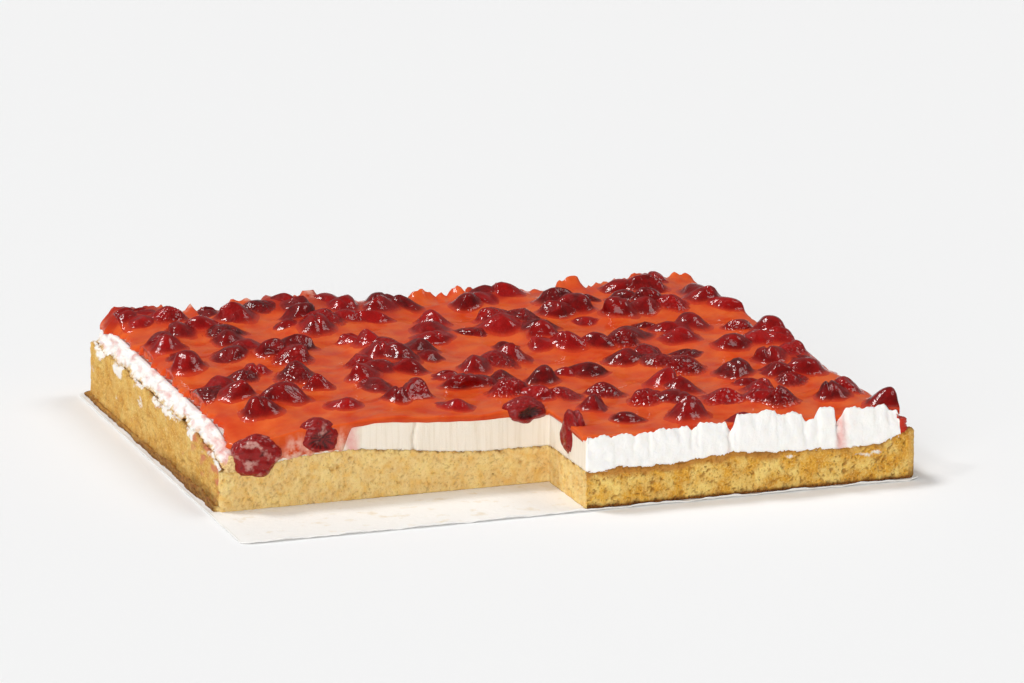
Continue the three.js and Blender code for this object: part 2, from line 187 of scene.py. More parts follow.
@dataclass(frozen=True)
class CakePlan:
    """Sizes of the whole cake and the heights of its layers, in millimetres.

    A crag's row gives where it starts and how high it stands, and a cleft's row its place and depth.
    """

    length: float = 400.0
    depth: float = 346.0
    cut_length: float = 197.0
    cut_depth: float = 63.0
    margin_front: float = 2.5
    margin_right: float = 2.0
    margin_back: float = 2.5
    margin_left: float = 7.0
    paper: float = 0.8
    lip: float = 5.5
    sponge_height: float = 22.5
    sponge_rise: float = 8.0
    back_rise: float = 4.0
    top_height: float = 40.0
    glaze: float = 2.4
    gap: float = 0.3
    sponge_domes: tuple[Dome, ...] = (
        Dome(-7.0, 8.0, 63.0, 30.0, 30.0),
        Dome(7.0, 400.0, 0.0, 16.0, 16.0),
        Dome(3.0, 290.0, 0.0, 30.0, 40.0),
    )
    glaze_domes: tuple[Dome, ...] = (
        Dome(4.2, 190.0, 50.0, 27.0, 50.0),
        Dome(2.8, 96.0, 63.0, 24.0, 40.0),
        Dome(-9.0, 8.0, 63.0, 26.0, 26.0),
        Dome(-2.5, 400.0, 0.0, 9.0, EVER),
        Dome(-1.5, 0.0, 346.0, EVER, 7.0),
        Dome(-1.5, 0.0, 0.0, 14.0, EVER),
    )
    crags: Rows = (
        ((197, 1.5), (214, 2.5), (236, 3.5), (266, 5), (284, 2), (289, 8.5), (314, 6))
        + ((331, 2.5), (340, 8), (351, 2.5), (357, 5.5), (384, 3), (392, 0.5))
    )
    crag_step: float = 1.4
    crag_chips: Rows = ((0.5, 2.6, 45), (0.9, 11.0, 46))
    clefts: Rows = ((286, 4.0), (353, 5.5), (333, 2.0), (262, 1.6), (227, 1.4))
    cleft_width: float = 1.7
    torn_edge: Rows = ((1.5, 7.0, 12), (0.6, 2.2, 13))

    def to_frame(self, points: Array) -> Array:
        """Turns (u, v, z) on the cake in millimetres to metres in the shared frame."""
        left = (self.margin_left - self.margin_right - self.length) / 2.0
        front = (self.margin_front - self.margin_back - self.depth) / 2.0
        return (points + np.array([left, front, 0.0])) * MM

    def left_share(self, u: Array) -> Array:
        """How much a place belongs to the left half, where the sponge has risen highest."""
        return smooth(205.0, 125.0, u)

    def _back_rise(self, u: Array, v: Array) -> Array:
        """How far the right half rises towards the back."""
        return self.back_rise * (1 - self.left_share(u)) * smooth(80, 320, v)

    def sponge_top(self, u: Array, v: Array) -> Array:
        """Height of the sponge's upper face: its height, the rises of both halves and the domes."""
        rise = self.sponge_rise * smooth(165, 70, u) * smooth(0, 60, v) + self._back_rise(u, v)
        return self.sponge_height + rise + sum(dome.at(u, v) for dome in self.sponge_domes)

    def glaze_top(self, u: Array, v: Array) -> Array:
        """Height of the glaze's upper face: it follows the sponge loosely and sags at the outer edges."""
        on_left = self.left_share(u) * (5.0 * smooth(0, 60, v) + 3.0 * smooth(63, 346, v))
        rise = on_left + self._back_rise(u, v)
        return self.top_height + rise + sum(dome.at(u, v) for dome in self.glaze_domes)

    def cream_top(self, u: Array, v: Array) -> Array:
        """Height of the cream under the glaze."""
        return self.glaze_top(u, v) - self.glaze - self.gap

    def torn_rise(self, way: Array) -> Array:
        """How much higher the sponge's broken edge reaches on the left, where it meets the torn cream."""
        return 2.0 + ripples(way, 0.0, self.torn_edge)

    def crag(self, u: Array) -> Array:
        """Height of the torn cream over the glaze along the front edge.

        Each crag's start is a steep step, chips roughen the tops, and clefts between blocks cut down.
        """
        height = np.full(np.shape(u), self.crags[0][1])
        for (_, low), (start, high) in zip(self.crags, self.crags[1:]):
            height = height + (high - low) * smooth(start - self.crag_step, start + self.crag_step, u)
        chips = 0.8 * wave(u / 3.0, 4) + ripples(u, 0.0, self.crag_chips)
        clefts = sum(deep * bump(u - at, self.cleft_width) for at, deep in self.clefts)
        return height - clefts + chips * smooth(self.length - 4, self.length - 12, u)


PLAN = CakePlan()


class Outline:
    """A closed walk round the cake, sampled finely where the cake is seen closest.

    Insets and radii are six numbers, one for each side and for the corner where it starts, or one for all.

    Attributes:
        side: number of the side that each sample belongs to.
        way: distance along the outline in millimetres, counted at a third on the left side, where crust and
            cream are drawn out lengthwise.
        cut, front, left, long_cut, hidden: 1 for the samples of those sides and 0 for the others, where
            hidden stands for the right side and the back.
    """

    def __init__(self, steps: Numbers, arc: int = 6) -> None:
        """Sets the samples.

        Args:
            steps: distance between samples on each of the six sides, in millimetres.
            arc: samples along each corner's arc.
        """
        sides, turns, shares = [], [], []
        for i, (length, step) in enumerate(zip(self._frame(0.0)[1], steps)):
            count = int(round(length / step))
            sides += [np.full(arc + count - 1, i)]
            turns += [np.linspace(0, math.pi / 2, arc), np.full(count - 1, -1.0)]
            shares += [np.zeros(arc), np.arange(1, count) / count]
        self.side, self.turn, self.share = (np.concatenate(parts) for parts in (sides, turns, shares))
        plain = self.ring(0.0, 1.0)
        pace = np.where(self.side == Side.LEFT.value, 0.33, 1.0)
        hop = np.hypot(*(np.roll(plain, -1, axis=0) - plain).T) * pace
        self.way = np.concatenate([[0.0], np.cumsum(hop)[:-1]])
        self.cut, self.front = self.on(Side.LONG_CUT, Side.SHORT_CUT), self.on(Side.FRONT)
        self.left, self.long_cut = self.on(Side.LEFT), self.on(Side.LONG_CUT)
        self.hidden = self.on(Side.RIGHT, Side.BACK)

    @staticmethod
    def _frame(inset: Numbers | float) -> tuple[Array, Array, Array, Array]:
        """Corners, side lengths, and the unit directions that leave and reach each corner."""
        front, right, back, left, long_cut, short_cut = np.broadcast_to(inset, 6)
        cut_u, cut_v = PLAN.cut_length + short_cut, PLAN.cut_depth + long_cut
        far_u, far_v = PLAN.length - right, PLAN.depth - back
        corner_u = (cut_u, far_u, far_u, left, left, cut_u)
        corner_v = (front, front, far_v, far_v, cut_v, cut_v)
        corner = np.column_stack([corner_u, corner_v])
        step = np.roll(corner, -1, axis=0) - corner
        length = np.hypot(*step.T)
        along = step / length[:, None]
        return corner, length, along, np.roll(along, 1, axis=0)

    def inward(self) -> Array:
        """Unit direction into the cake at each sample, turning evenly along the corners' arcs."""
        _, _, along, arriving = self._frame(0.0)
        leave, reach = (np.column_stack([-d[:, 1], d[:, 0]])[self.side] for d in (along, arriving))
        turn = np.where(self.turn < 0, math.pi / 2, self.turn)[:, None]
        return reach * np.cos(turn) + leave * np.sin(turn)

    def ring(self, inset: Numbers | float, radii: Numbers | float, push: Value = 0.0) -> Array:
        """One ring of points round the cake.

        A point of a side lies at its share of the straight run between two arcs. A point of an arc of radius
        r lies at corner - arriving r (1 - sin t) + leaving r (1 - cos t). Push moves each point inwards.

        Args:
            inset: how far the ring lies inside each side, in millimetres.
            radii: radius of each corner's arc in millimetres.
            push: further way inwards for each sample.

        Returns:
            The ring's (u, v) in millimetres, one row for each sample.
        """
        corner, length, along, arriving = self._frame(inset)
        r = np.broadcast_to(np.asarray(radii, float), 6)
        k, t = self.side, self.turn[:, None]
        straight = r[k] + self.share * (length - r - np.roll(r, -1))[k]
        bend = r[k][:, None]
        on_arc = along[k] * bend * (1 - np.cos(t)) - arriving[k] * bend * (1 - np.sin(t))
        place = corner[k] + np.where(t < 0, along[k] * straight[:, None], on_arc)
        return place + self.inward() * np.broadcast_to(push, k.shape)[:, None]

    def inner(self, inset: float, arc: float) -> Array:
        """A ring well inside the cake, whose only wide arc rounds the cut's inner corner."""
        return self.ring(inset, (1, 1, 1, 1, 1, arc))

    def on(self, *sides: Side) -> Array:
        """1 for the samples of these sides and 0 for the others."""
        return np.isin(self.side, [s.value for s in sides]).astype(float)


# Meshes


def make_piece(
    name: str, points: Array, faces: tuple[Array, Array], material: Material, marks: dict[str, Array]
) -> Piece:
    """Puts arrays into a smooth-shaded mesh object with its place in its mesh.

    Args:
        name: the piece's name.
        points: (u, v, z) of each vertex in millimetres.
        faces: four vertex numbers a row, then three a row.
        material: the piece's only material.
        marks: a number at each vertex by name, which the material reads.

    Returns:
        The linked object.
    """
    quads, triangles = faces
    mesh = bpy.data.meshes.new(name)
    mesh.vertices.add(len(points))
    mesh.vertices.foreach_set("co", PLAN.to_frame(points).astype(np.float32).ravel())
    corners = np.concatenate([quads.ravel(), triangles.ravel()]).astype(np.int32)
    starts = np.concatenate([np.arange(len(quads)) * 4, len(quads) * 4 + np.arange(len(triangles)) * 3])
    mesh.loops.add(len(corners))
    mesh.loops.foreach_set("vertex_index", corners)
    mesh.polygons.add(len(starts))
    mesh.polygons.foreach_set("loop_start", starts.astype(np.int32))
    mesh.update(calc_edges=True)
    mesh.validate()
    mesh.polygons.foreach_set("use_smooth", np.ones(len(mesh.polygons), bool))
    for key, values in marks.items():
        mark = mesh.attributes.new(key, "FLOAT", "POINT")
        mark.data.foreach_set("value", np.asarray(values, np.float32).ravel())
    mesh.materials.append(material)
    piece = bpy.data.objects.new(name, mesh)
    bpy.context.collection.objects.link(piece)
    return piece


def stack_faces(rows: int, columns: int) -> tuple[Array, Array]:
    """Faces of a closed stack of rings, whose points are followed by one below it and one above it.

    They face out where the rings run anticlockwise and upwards.

    Args:
        rows: how many rings there are.
        columns: points in each ring.

    Returns:
        Quads between the rings, and the triangles of the lower and the upper fan.
    """
    r, c = np.meshgrid(np.arange(rows - 1), np.arange(columns), indexing="ij")
    here, beside = r * columns + c, r * columns + (c + 1) % columns
    quads = np.stack([here, beside, beside + columns, here + columns], axis=-1).reshape(-1, 4)
    first, last = np.arange(columns), (rows - 1) * columns + np.arange(columns)
    low, high = np.full(columns, rows * columns), np.full(columns, rows * columns + 1)
    fans = [np.stack([low, np.roll(first, -1), first], -1), np.stack([high, last, np.roll(last, -1)], -1)]
    return quads, np.concatenate(fans)


class Shell:
    """A closed stack of rings round the cake, from the middle of the underside out, up, and in again."""

    HUB = (PLAN.cut_length + 102.0, PLAN.cut_depth + 120.0)

    def __init__(self) -> None:
        """Starts an empty stack."""
        self.rings: list[Array] = []
        self.marks: dict[str, list[Array]] = {}

    def add(self, place: Array, z: Value, **marks: Value) -> None:
        """Adds a ring at a height, with its marks."""
        count = len(place)
        self.rings.append(np.column_stack([place, np.broadcast_to(z, count)]))
        for name, mark in marks.items():
            self.marks.setdefault(name, []).append(np.broadcast_to(mark, count))

    def close(self, name: str, material: Material, **later: Array) -> Piece:
        """Closes the stack by a fan at each end, from a point that sees its whole ring.

        Args:
            name: the piece's name.
            material: its material.
            later: marks of the whole stack, or one row of them for all its rings.

        Returns:
            The piece.
        """
        stack = np.array(self.rings)
        hubs = [(*self.HUB, ring[:, 2].mean()) for ring in (stack[0], stack[-1])]
        points = np.concatenate([stack.reshape(-1, 3), hubs])
        marks = {}
        for key, given in {**self.marks, **later}.items():
            mark = np.broadcast_to(np.array(given), stack.shape[:2])
            marks[key] = np.append(mark.ravel(), [mark[0].mean(), mark[-1].mean()])
        return make_piece(name, points, stack_faces(*stack.shape[:2]), material, marks)


# Materials


class Node(Enum):
    """Kinds of shader node: type, output, the sockets that values go to in order, and fixed settings."""

    PLACE = ("ShaderNodeTexCoord", "Object", (), {})
    STRETCH = ("ShaderNodeMapping", 0, ("Vector", "Scale"), {})
    NOISE = ("ShaderNodeTexNoise", "Fac", ("Vector", "Scale", "Detail", "Roughness"), {})
    CELLS = ("ShaderNodeTexVoronoi", "Distance", ("Vector", "Scale"), {"feature": "F1"})
    MARK = ("ShaderNodeAttribute", "Fac", (), {})
    MIX = ("ShaderNodeMix", 2, (0, 6, 7), {"data_type": "RGBA"})
    PLUS = ("ShaderNodeMath", 0, (0, 1), {"operation": "ADD", "use_clamp": True})
    TIMES = ("ShaderNodeMath", 0, (0, 1), {"operation": "MULTIPLY", "use_clamp": True})
    GREATER = ("ShaderNodeMath", 0, (0, 1), {"operation": "MAXIMUM", "use_clamp": True})
    RANGE = ("ShaderNodeMapRange", 0, (0, 1, 2, 4), {})
    RELIEF = ("ShaderNodeBump", 0, ("Height", "Distance", "Strength", "Normal"), {})


EVEN = (1.0, 1.0, 1.0)
LENGTHWISE = (1.0, 0.5, 1.0)
UPRIGHT = (1.0, 1.0, 0.05)
NOISE_ROUGHNESS = 0.55


def linear(hex_colour: str) -> Numbers:
    """Turns an sRGB hex colour to linear RGBA: (c + 0.055) / 1.055 to the power 2.4 above the toe."""
    parts = [int(hex_colour[i : i + 2], 16) / 255.0 for i in (1, 3, 5)]
    return (*(c / 12.92 if c <= 0.04045 else ((c + 0.055) / 1.055) ** 2.4 for c in parts), 1.0)


class MaterialTree:
    """A material whose nodes are added one by one, each with its settings and links."""

    def __init__(self, name: str) -> None:
        """Starts a material that holds one Principled shader."""
        self.material = bpy.data.materials.new(name)
        self.material.use_nodes = True
        self.tree = self.material.node_tree

    def add(self, kind: Node, *values: object, **settings: object) -> Socket:
        """Adds one node.

        Args:
            kind: the kind of node.
            values: a number, a hex colour or another node's output for each of its sockets in turn.
            settings: more of the node's own properties.

        Returns:
            The node's output.
        """
        node_type, output, sockets, fixed = kind.value
        node = self.tree.nodes.new(node_type)
        for key, value in {**fixed, **settings}.items():
            setattr(node, key, value)
        for key, value in zip(sockets, values):
            self._join(node.inputs[key], value)
        return node.outputs[output]

    def _join(self, socket: Socket, value: object) -> None:
        """Links another node's output to a socket, or sets the socket's own value."""
        if isinstance(value, bpy.types.NodeSocket):
            self.tree.links.new(value, socket)
        else:
            socket.default_value = linear(value) if isinstance(value, str) else value

    def surface(self, inputs: dict[str, object]) -> Material:
        """Sets or links the Principled shader's inputs and returns the material."""
        for key, value in inputs.items():
            self._join(self.tree.nodes["Principled BSDF"].inputs[key], value)
        return self.material

    def grain(self, size_mm: float, detail: float = 4.0, drawn: Numbers = EVEN) -> Socket:
        """Soft lumps about this size on the object's own coordinates.

        Args:
            size_mm: size of a lump in millimetres.
            detail: how many finer layers it has.
            drawn: pace along each axis, where less than 1 draws the lumps out.

        Returns:
            A value from 0 to 1.
        """
        place = self.add(Node.STRETCH, self.add(Node.PLACE), drawn)
        return self.add(Node.NOISE, place, 1.0 / (size_mm * MM), detail, NOISE_ROUGHNESS)

    def scatter(self, spacing_mm: float) -> Socket:
        """Distance to the nearest of scattered points, on the object's own coordinates."""
        return self.add(Node.CELLS, self.add(Node.PLACE), 1.0 / (spacing_mm * MM))

    def patches(
        self, grain: Socket, low: float, high: float, most: float = 1.0, mark: str | None = None
    ) -> Socket:
        """Patches of a grain, or of a grain times one of the mesh's marks.

        Args:
            grain: the grain.
            low: the value where a patch begins.
            high: the value where it is full.
            most: how strong it is there.
            mark: name of the mark.

        Returns:
            The patches' strength.
        """
        value = grain
        if mark:
            value = self.add(Node.TIMES, self.add(Node.MARK, attribute_name=mark), grain)
        return self.add(Node.RANGE, value, low, high, most)


@dataclass(frozen=True)
class SpongeFinish:
    """Baked sponge: an open golden crumb, with a browned skin where it met the tin and the oven's heat."""

    crumb: str = "#e2a93f"
    crumb_deep: str = "#c98b31"
    crumb_pale: str = "#f4d680"
    inside: str = "#efd293"
    skin: str = "#c99246"
    skin_pale: str = "#e0b76c"
    band: str = "#b97a34"
    crust: str = "#96602a"
    scorch: str = "#5e3a15"
    pore_shade: str = "#925e1f"
    cream: str = "#f5efe6"
    juice: str = "#c9705a"

    def material(self) -> Material:
        """Builds the material: mesh marks place crust and painted pore shade; noise breaks them up."""
        tree = MaterialTree("baked_sponge")
        add, grain, patches = tree.add, tree.grain, tree.patches
        skin, inside = add(Node.MARK, attribute_name="skin"), add(Node.MARK, attribute_name="pale")
        fine, soft = grain(1.1), patches(grain(5.0), 0.32, 0.6, 0.55)
        colour = add(Node.MIX, patches(grain(5.0, 3.0), 0.38, 0.62), self.crumb, self.crumb_deep)
        # Patches of paler crumb, about a thumb's width, as the egg-rich batter bakes unevenly.
        colour = add(Node.MIX, patches(grain(10.0), 0.44, 0.64, 0.9), colour, self.crumb_pale)
        colour = add(Node.MIX, add(Node.TIMES, inside, add(Node.PLUS, soft, 0.45)), colour, self.inside)
        browned = patches(grain(9.0, 4.0, LENGTHWISE), 0.36, 0.66)
        colour = add(Node.MIX, skin, colour, add(Node.MIX, browned, self.skin, self.skin_pale))
        coarse = add(Node.RANGE, inside, 1.3, 0.0, 1.0)
        for limits, fleck in (((0.5, 0.66, 0.5), self.crumb_pale), ((0.47, 0.33, 0.4), self.crumb_deep)):
            colour = add(Node.MIX, add(Node.TIMES, patches(fine, *limits), coarse), colour, fleck)
        # Pores too fine for the mesh, about 1.7 mm apart, as specks: a faint bump and painted shade.
        broken = add(Node.PLUS, tree.scatter(1.7), add(Node.TIMES, grain(3.0, 2.0), 0.45))
        specks = add(Node.RANGE, broken, 0.42, 0.2, 1.0)
        closed = add(Node.PLUS, skin, add(Node.TIMES, inside, 0.5))
        open_crumb = add(Node.RANGE, closed, 1.0, 0.0, 0.75)
        deep = add(Node.PLUS, add(Node.MARK, attribute_name="pit"), add(Node.TIMES, fine, 0.35))
        pits = add(Node.TIMES, add(Node.RANGE, deep, 0.36, 0.9, 0.72), add(Node.PLUS, coarse, 0.35))
        painted_pore_shade = add(Node.GREATER, add(Node.TIMES, specks, open_crumb), pits)
        # Painted shade: pores and pits are darkened where shade would fall inside them.
        colour = add(Node.MIX, painted_pore_shade, colour, self.pore_shade)
        streaks = add(Node.TIMES, patches(grain(3.4, 4.0, LENGTHWISE), 0.52, 0.74, 0.55), skin)
        colour = add(Node.MIX, streaks, colour, self.crust)
        rough_edge = add(Node.TIMES, grain(2.4, 4.0, LENGTHWISE), 0.5)
        burnt = add(Node.MIX, patches(fine, 0.4, 0.6), self.crust, self.scorch)
        browning = ("band", (0.28, 0.72, 0.85), self.band), ("crust", (0.42, 0.95, 1.0), burnt)
        for mark, limits, tint in browning:
            edge = add(Node.PLUS, add(Node.MARK, attribute_name=mark), rough_edge)
            colour = add(Node.MIX, add(Node.RANGE, edge, *limits), colour, tint)
        juice = patches(grain(4.0, 4.0, LENGTHWISE), 0.22, 0.5, 0.75, "juice")
        colour = add(Node.MIX, juice, colour, self.juice)
        smear = patches(grain(3.0, 4.0, LENGTHWISE), 0.3, 0.46, 1.0, "smear")
        colour = add(Node.MIX, smear, colour, self.cream)
        rough = add(Node.RELIEF, fine, 0.6 * MM, 1.0)
        return tree.surface(
            {
                "Base Color": colour,
                "Roughness": 0.85,
                "Specular IOR Level": 0.2,
                "Subsurface Weight": 0.15,
                "Subsurface Radius": (1.0, 0.55, 0.2),
                "Subsurface Scale": 0.0015,
                "Normal": add(Node.RELIEF, specks, -0.4 * MM, 1.0, rough),
            }
        )


@dataclass(frozen=True)
class CreamFinish:
    """Whipped cream: soft white, matt where torn, silky where a knife went through it, stained by juice."""

    white: str = "#fbf8f3"
    cut_face: str = "#f3e9da"
    cut_shade: str = "#dccdb6"
    stain: str = "#e4a79f"
    soaked: str = "#eac983"
    soaked_deep: str = "#c0914a"
    crumb: str = "#b5803c"
    run: str = "#bf2609"

    def material(self) -> Material:
        """Builds the material: painted shade in upright knife streaks on cut faces, crumbs along its foot."""
        tree = MaterialTree("whipped_cream")
        add, grain, patches = tree.add, tree.grain, tree.patches
        cut, knife, clouds = add(Node.MARK, attribute_name="cut"), grain(1.6, 3.0, UPRIGHT), grain(7.0)
        colour = add(Node.MIX, cut, self.white, self.cut_face)
        # Painted shade: darker upright streaks stand in for the shade in the knife's grooves.
        streaks = add(Node.TIMES, patches(knife, 0.48, 0.72, 0.45), cut)
        colour = add(Node.MIX, streaks, colour, self.cut_shade)
        crumbly = add(Node.MIX, patches(grain(1.3), 0.6, 0.36), self.soaked, self.soaked_deep)
        for mark, lumps, limits, tint in (
            ("stain", clouds, (0.2, 0.6, 1.0), self.stain),
            ("soaked", clouds, (0.22, 0.36, 0.9), crumbly),
            ("run", clouds, (0.2, 0.3, 1.0), self.run),
            ("crumbs", grain(1.6, 3.0), (0.42, 0.52, 0.9), self.crumb),
        ):
            colour = add(Node.MIX, patches(lumps, *limits, mark), colour, tint)
        foam = add(Node.RELIEF, grain(0.9), 0.22 * MM, 1.0)
        return tree.surface(
            {
                "Base Color": colour,
                "Roughness": 0.5,
                "Specular IOR Level": 0.35,
                "Subsurface Weight": 0.4,
                "Subsurface Radius": (1.0, 0.85, 0.7),
                "Subsurface Scale": 0.0012,
                "Normal": add(Node.RELIEF, knife, 0.1 * MM, 1.0, foam),
            }
        )


@dataclass(frozen=True)
class GlazeFinish:
    """Set jelly glaze: clear and wet, orange-red over white cream and dark where it lies deep by a berry."""

    thin: str = "#e36328"
    body: str = "#d54416"
    deep: str = "#a01207"
    bare: str = "#f0c3ae"

    def material(self) -> Material:
        """Builds the material: the mesh says how deep the jelly is, and noise clouds it."""
        tree = MaterialTree("jelly_glaze")
        add, grain, patches = tree.add, tree.grain, tree.patches
        red = add(Node.MIX, patches(grain(16.0, 3.0), 0.35, 0.65), self.thin, self.body)
        red = add(Node.MIX, add(Node.MARK, attribute_name="deep"), red, self.deep)
        bare = add(Node.TIMES, add(Node.MARK, attribute_name="bare"), patches(grain(5.0, 5.0), 0.36, 0.58))
        broad = add(Node.RELIEF, grain(20.0, 1.0), 0.5 * MM, 0.5)
        return tree.surface(
            {
                "Base Color": add(Node.MIX, bare, red, self.bare),
                "Roughness": 0.4,
                "IOR": 1.4,
                "Specular IOR Level": 0.1,
                "Subsurface Weight": 0.1,
                "Subsurface Radius": (1.0, 0.25, 0.1),
                "Subsurface Scale": 0.002,
                "Coat Weight": 0.45,
                "Coat Roughness": 0.06,
                "Coat IOR": 1.38,
                "Normal": add(Node.RELIEF, grain(7.0, 2.0), 0.35 * MM, 0.6, broad),
            }
        )


@dataclass(frozen=True)
class BerryFinish:
    """Raspberry under jelly: dark crimson flesh below a clear wet coat that mirrors the lamps sharply."""

    light: str = "#a40703"
    dark: str = "#420001"
    edge: str = "#cb3a16"

    def material(self) -> Material:
        """Builds the material, with drupelets showing through as soft bumps where the jelly is thin."""
        tree = MaterialTree("glazed_raspberry")
        add, grain = tree.add, tree.grain
        tone, foot, lumpy = (add(Node.MARK, attribute_name=mark) for mark in ("tone", "foot", "lumpy"))
        red = add(Node.PLUS, tone, tree.patches(grain(6.0, 3.0), 0.3, 0.7, 0.5))
        red = add(Node.MIX, foot, add(Node.MIX, red, self.dark, self.light), self.edge)
        drupelets = add(Node.TIMES, tree.scatter(2.7), lumpy)
        wrinkles = add(Node.RELIEF, grain(4.5, 2.0), 0.8 * MM, 1.0)
        return tree.surface(
            {
                "Base Color": red,
                "Roughness": 0.4,
                "IOR": 1.4,
                "Specular IOR Level": 0.1,
                "Subsurface Weight": 0.1,
                "Subsurface Radius": (1.0, 0.15, 0.08),
                "Subsurface Scale": 0.002,
                "Coat Weight": 0.72,
                "Coat Roughness": 0.03,
                "Coat IOR": 1.4,
                "Normal": add(Node.RELIEF, drupelets, -1.0 * MM, 1.0, wrinkles),
                "Coat Normal": add(Node.RELIEF, drupelets, -0.45 * MM, 1.0, wrinkles),
            }
        )


@dataclass(frozen=True)
class FleshFinish:
    """Raspberry laid bare by a knife: dull crimson drupelets with pale pulp and cream between them."""

    flesh: str = "#8f0b0a"
    dark: str = "#2c0303"
    pulp: str = "#d3a095"

    def material(self) -> Material:
        """Builds the material: painted shade darkens valleys and the open core; pulp clings here and there.
        """
        tree = MaterialTree("bare_raspberry")
        add, grain = tree.add, tree.grain
        red = add(Node.MIX, add(Node.MARK, attribute_name="valley_shade_and_streaks"), self.flesh, self.dark)
        cling = tree.patches(grain(3.0, 5.0), 0.22, 0.34, 0.75, "pulp")
        return tree.surface(
            {
                "Base Color": add(Node.MIX, cling, red, self.pulp),
                "Roughness": 0.35,
                "Specular IOR Level": 0.15,
                "Subsurface Weight": 0.1,
                "Subsurface Radius": (1.0, 0.2, 0.15),
                "Subsurface Scale": 0.002,
                "Coat Weight": 0.35,
                "Coat Roughness": 0.05,
                "Normal": add(Node.RELIEF, grain(0.8, 3.0), 0.5 * MM, 1.0),
            }
        )


@dataclass(frozen=True)
class PaperFinish:
    """Baking paper: white and matt, with spots of grease where the cake was baked on it."""

    white: str = "#f4f2ee"
    grease: str = "#dcc9a4"

    def material(self) -> Material:
        """Builds the material, with creases a few millimetres apart."""
        tree = MaterialTree("baking_paper")
        add, grain = tree.add, tree.grain
        spots = tree.patches(grain(11.0), 0.58, 0.75, 0.6)
        greasy = add(Node.TIMES, spots, add(Node.MARK, attribute_name="greasy"))
        return tree.surface(
            {
                "Base Color": add(Node.MIX, greasy, self.white, self.grease),
                "Roughness": 0.6,
                "Specular IOR Level": 0.3,
                "Normal": add(Node.RELIEF, grain(4.0, 3.0), 0.4 * MM, 1.0),
            }
        )


# The cake's pieces


@dataclass
class BakingPaper:
    """The sheet the cake was baked on: flat beneath it and under the cut, with a rippled edge.

    A row gives how far a ring lies inside the edge, its share of the fray and of the ripple, its height and
    how greasy it is.
    """

    points: int = 700
    corner: float = 5.0
    fray: float = 0.7
    ripple: float = 1.8
    rows: Rows = (
        (30.0, 0, 0.0, 0.0, 0.3),
        (2.6, 0, 0.0, 0.0, 0.3),
        (0.0, 1, 1.0, 0.0, 0.3),
        (0.0, 1, 1.0, 0.7, 0.3),
        (1.4, 0, 0.6, 0.3, 0.3),
        (2.6, 0, 0.0, PLAN.paper, 1.0),
        (9.0, 0, 0.0, PLAN.paper, 1.0),
        (40.0, 0, 0.0, PLAN.paper, 1.0),
    )
    finish: PaperFinish = field(default_factory=PaperFinish)

    def build(self) -> list[Piece]:
        """Builds the paper: a closed stack of rounded rectangles, whose edge is frayed and rippled by waves.

        Returns:
            The paper's piece.
        """
        shell = Shell()
        for inside, frayed, raised, height, greasy in self.rows:
            x, y = self._rectangle(np.full(self.points, inside)).T
            fray = self.fray * np.clip(0.5 + 0.5 * wave((x + y) / 5.0, 2), 0.0, 1.0)
            high = np.clip(0.5 + 0.5 * wave((x - y) / 7.0, 3), 0.0, 1.0)
            up = 0.15 + self.ripple * high * (0.35 + 0.65 * smooth(2.0, -1.0, y))
            shell.add(self._rectangle(inside + frayed * fray), raised * up + height, greasy=greasy)
        paper = shell.close("liner", self.finish.material())
        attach(paper, "root")
        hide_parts("baking_paper")
        return [paper]

    def _rectangle(self, inside: Array) -> Array:
        """Points round a rounded rectangle that lies inside the paper's edge by some way.

        A place at an even share of the walk is found on the sharp rectangle, and a corner is rounded by
        drawing the point in towards the middle of its arc.

        Args:
            inside: the way for each point in millimetres.

        Returns:
            The points' (u, v).
        """
        low = np.array([-PLAN.margin_left, -PLAN.margin_front])
        size = np.array([PLAN.length + PLAN.margin_right, PLAN.depth + PLAN.margin_back]) - low
        way = np.arange(self.points) / self.points * 2.0 * size.sum()
        x = np.clip(way, 0, size[0]) - np.clip(way - size.sum(), 0, size[0])
        y = np.clip(way - size[0], 0, size[1]) - np.clip(way - size[0] - size.sum(), 0, size[1])
        from_middle = np.column_stack([x, y]) - size / 2.0
        straight = size / 2.0 - self.corner
        over = np.clip(np.abs(from_middle) - straight, 0.0, None)
        pull = np.minimum(1.0, self.corner / np.maximum(np.hypot(*over.T), 1e-9))[:, None]
        rounded = np.sign(from_middle) * (np.minimum(np.abs(from_middle), straight) + over * pull)
        return low + size / 2.0 + rounded * (1.0 - inside[:, None] / (size / 2.0))


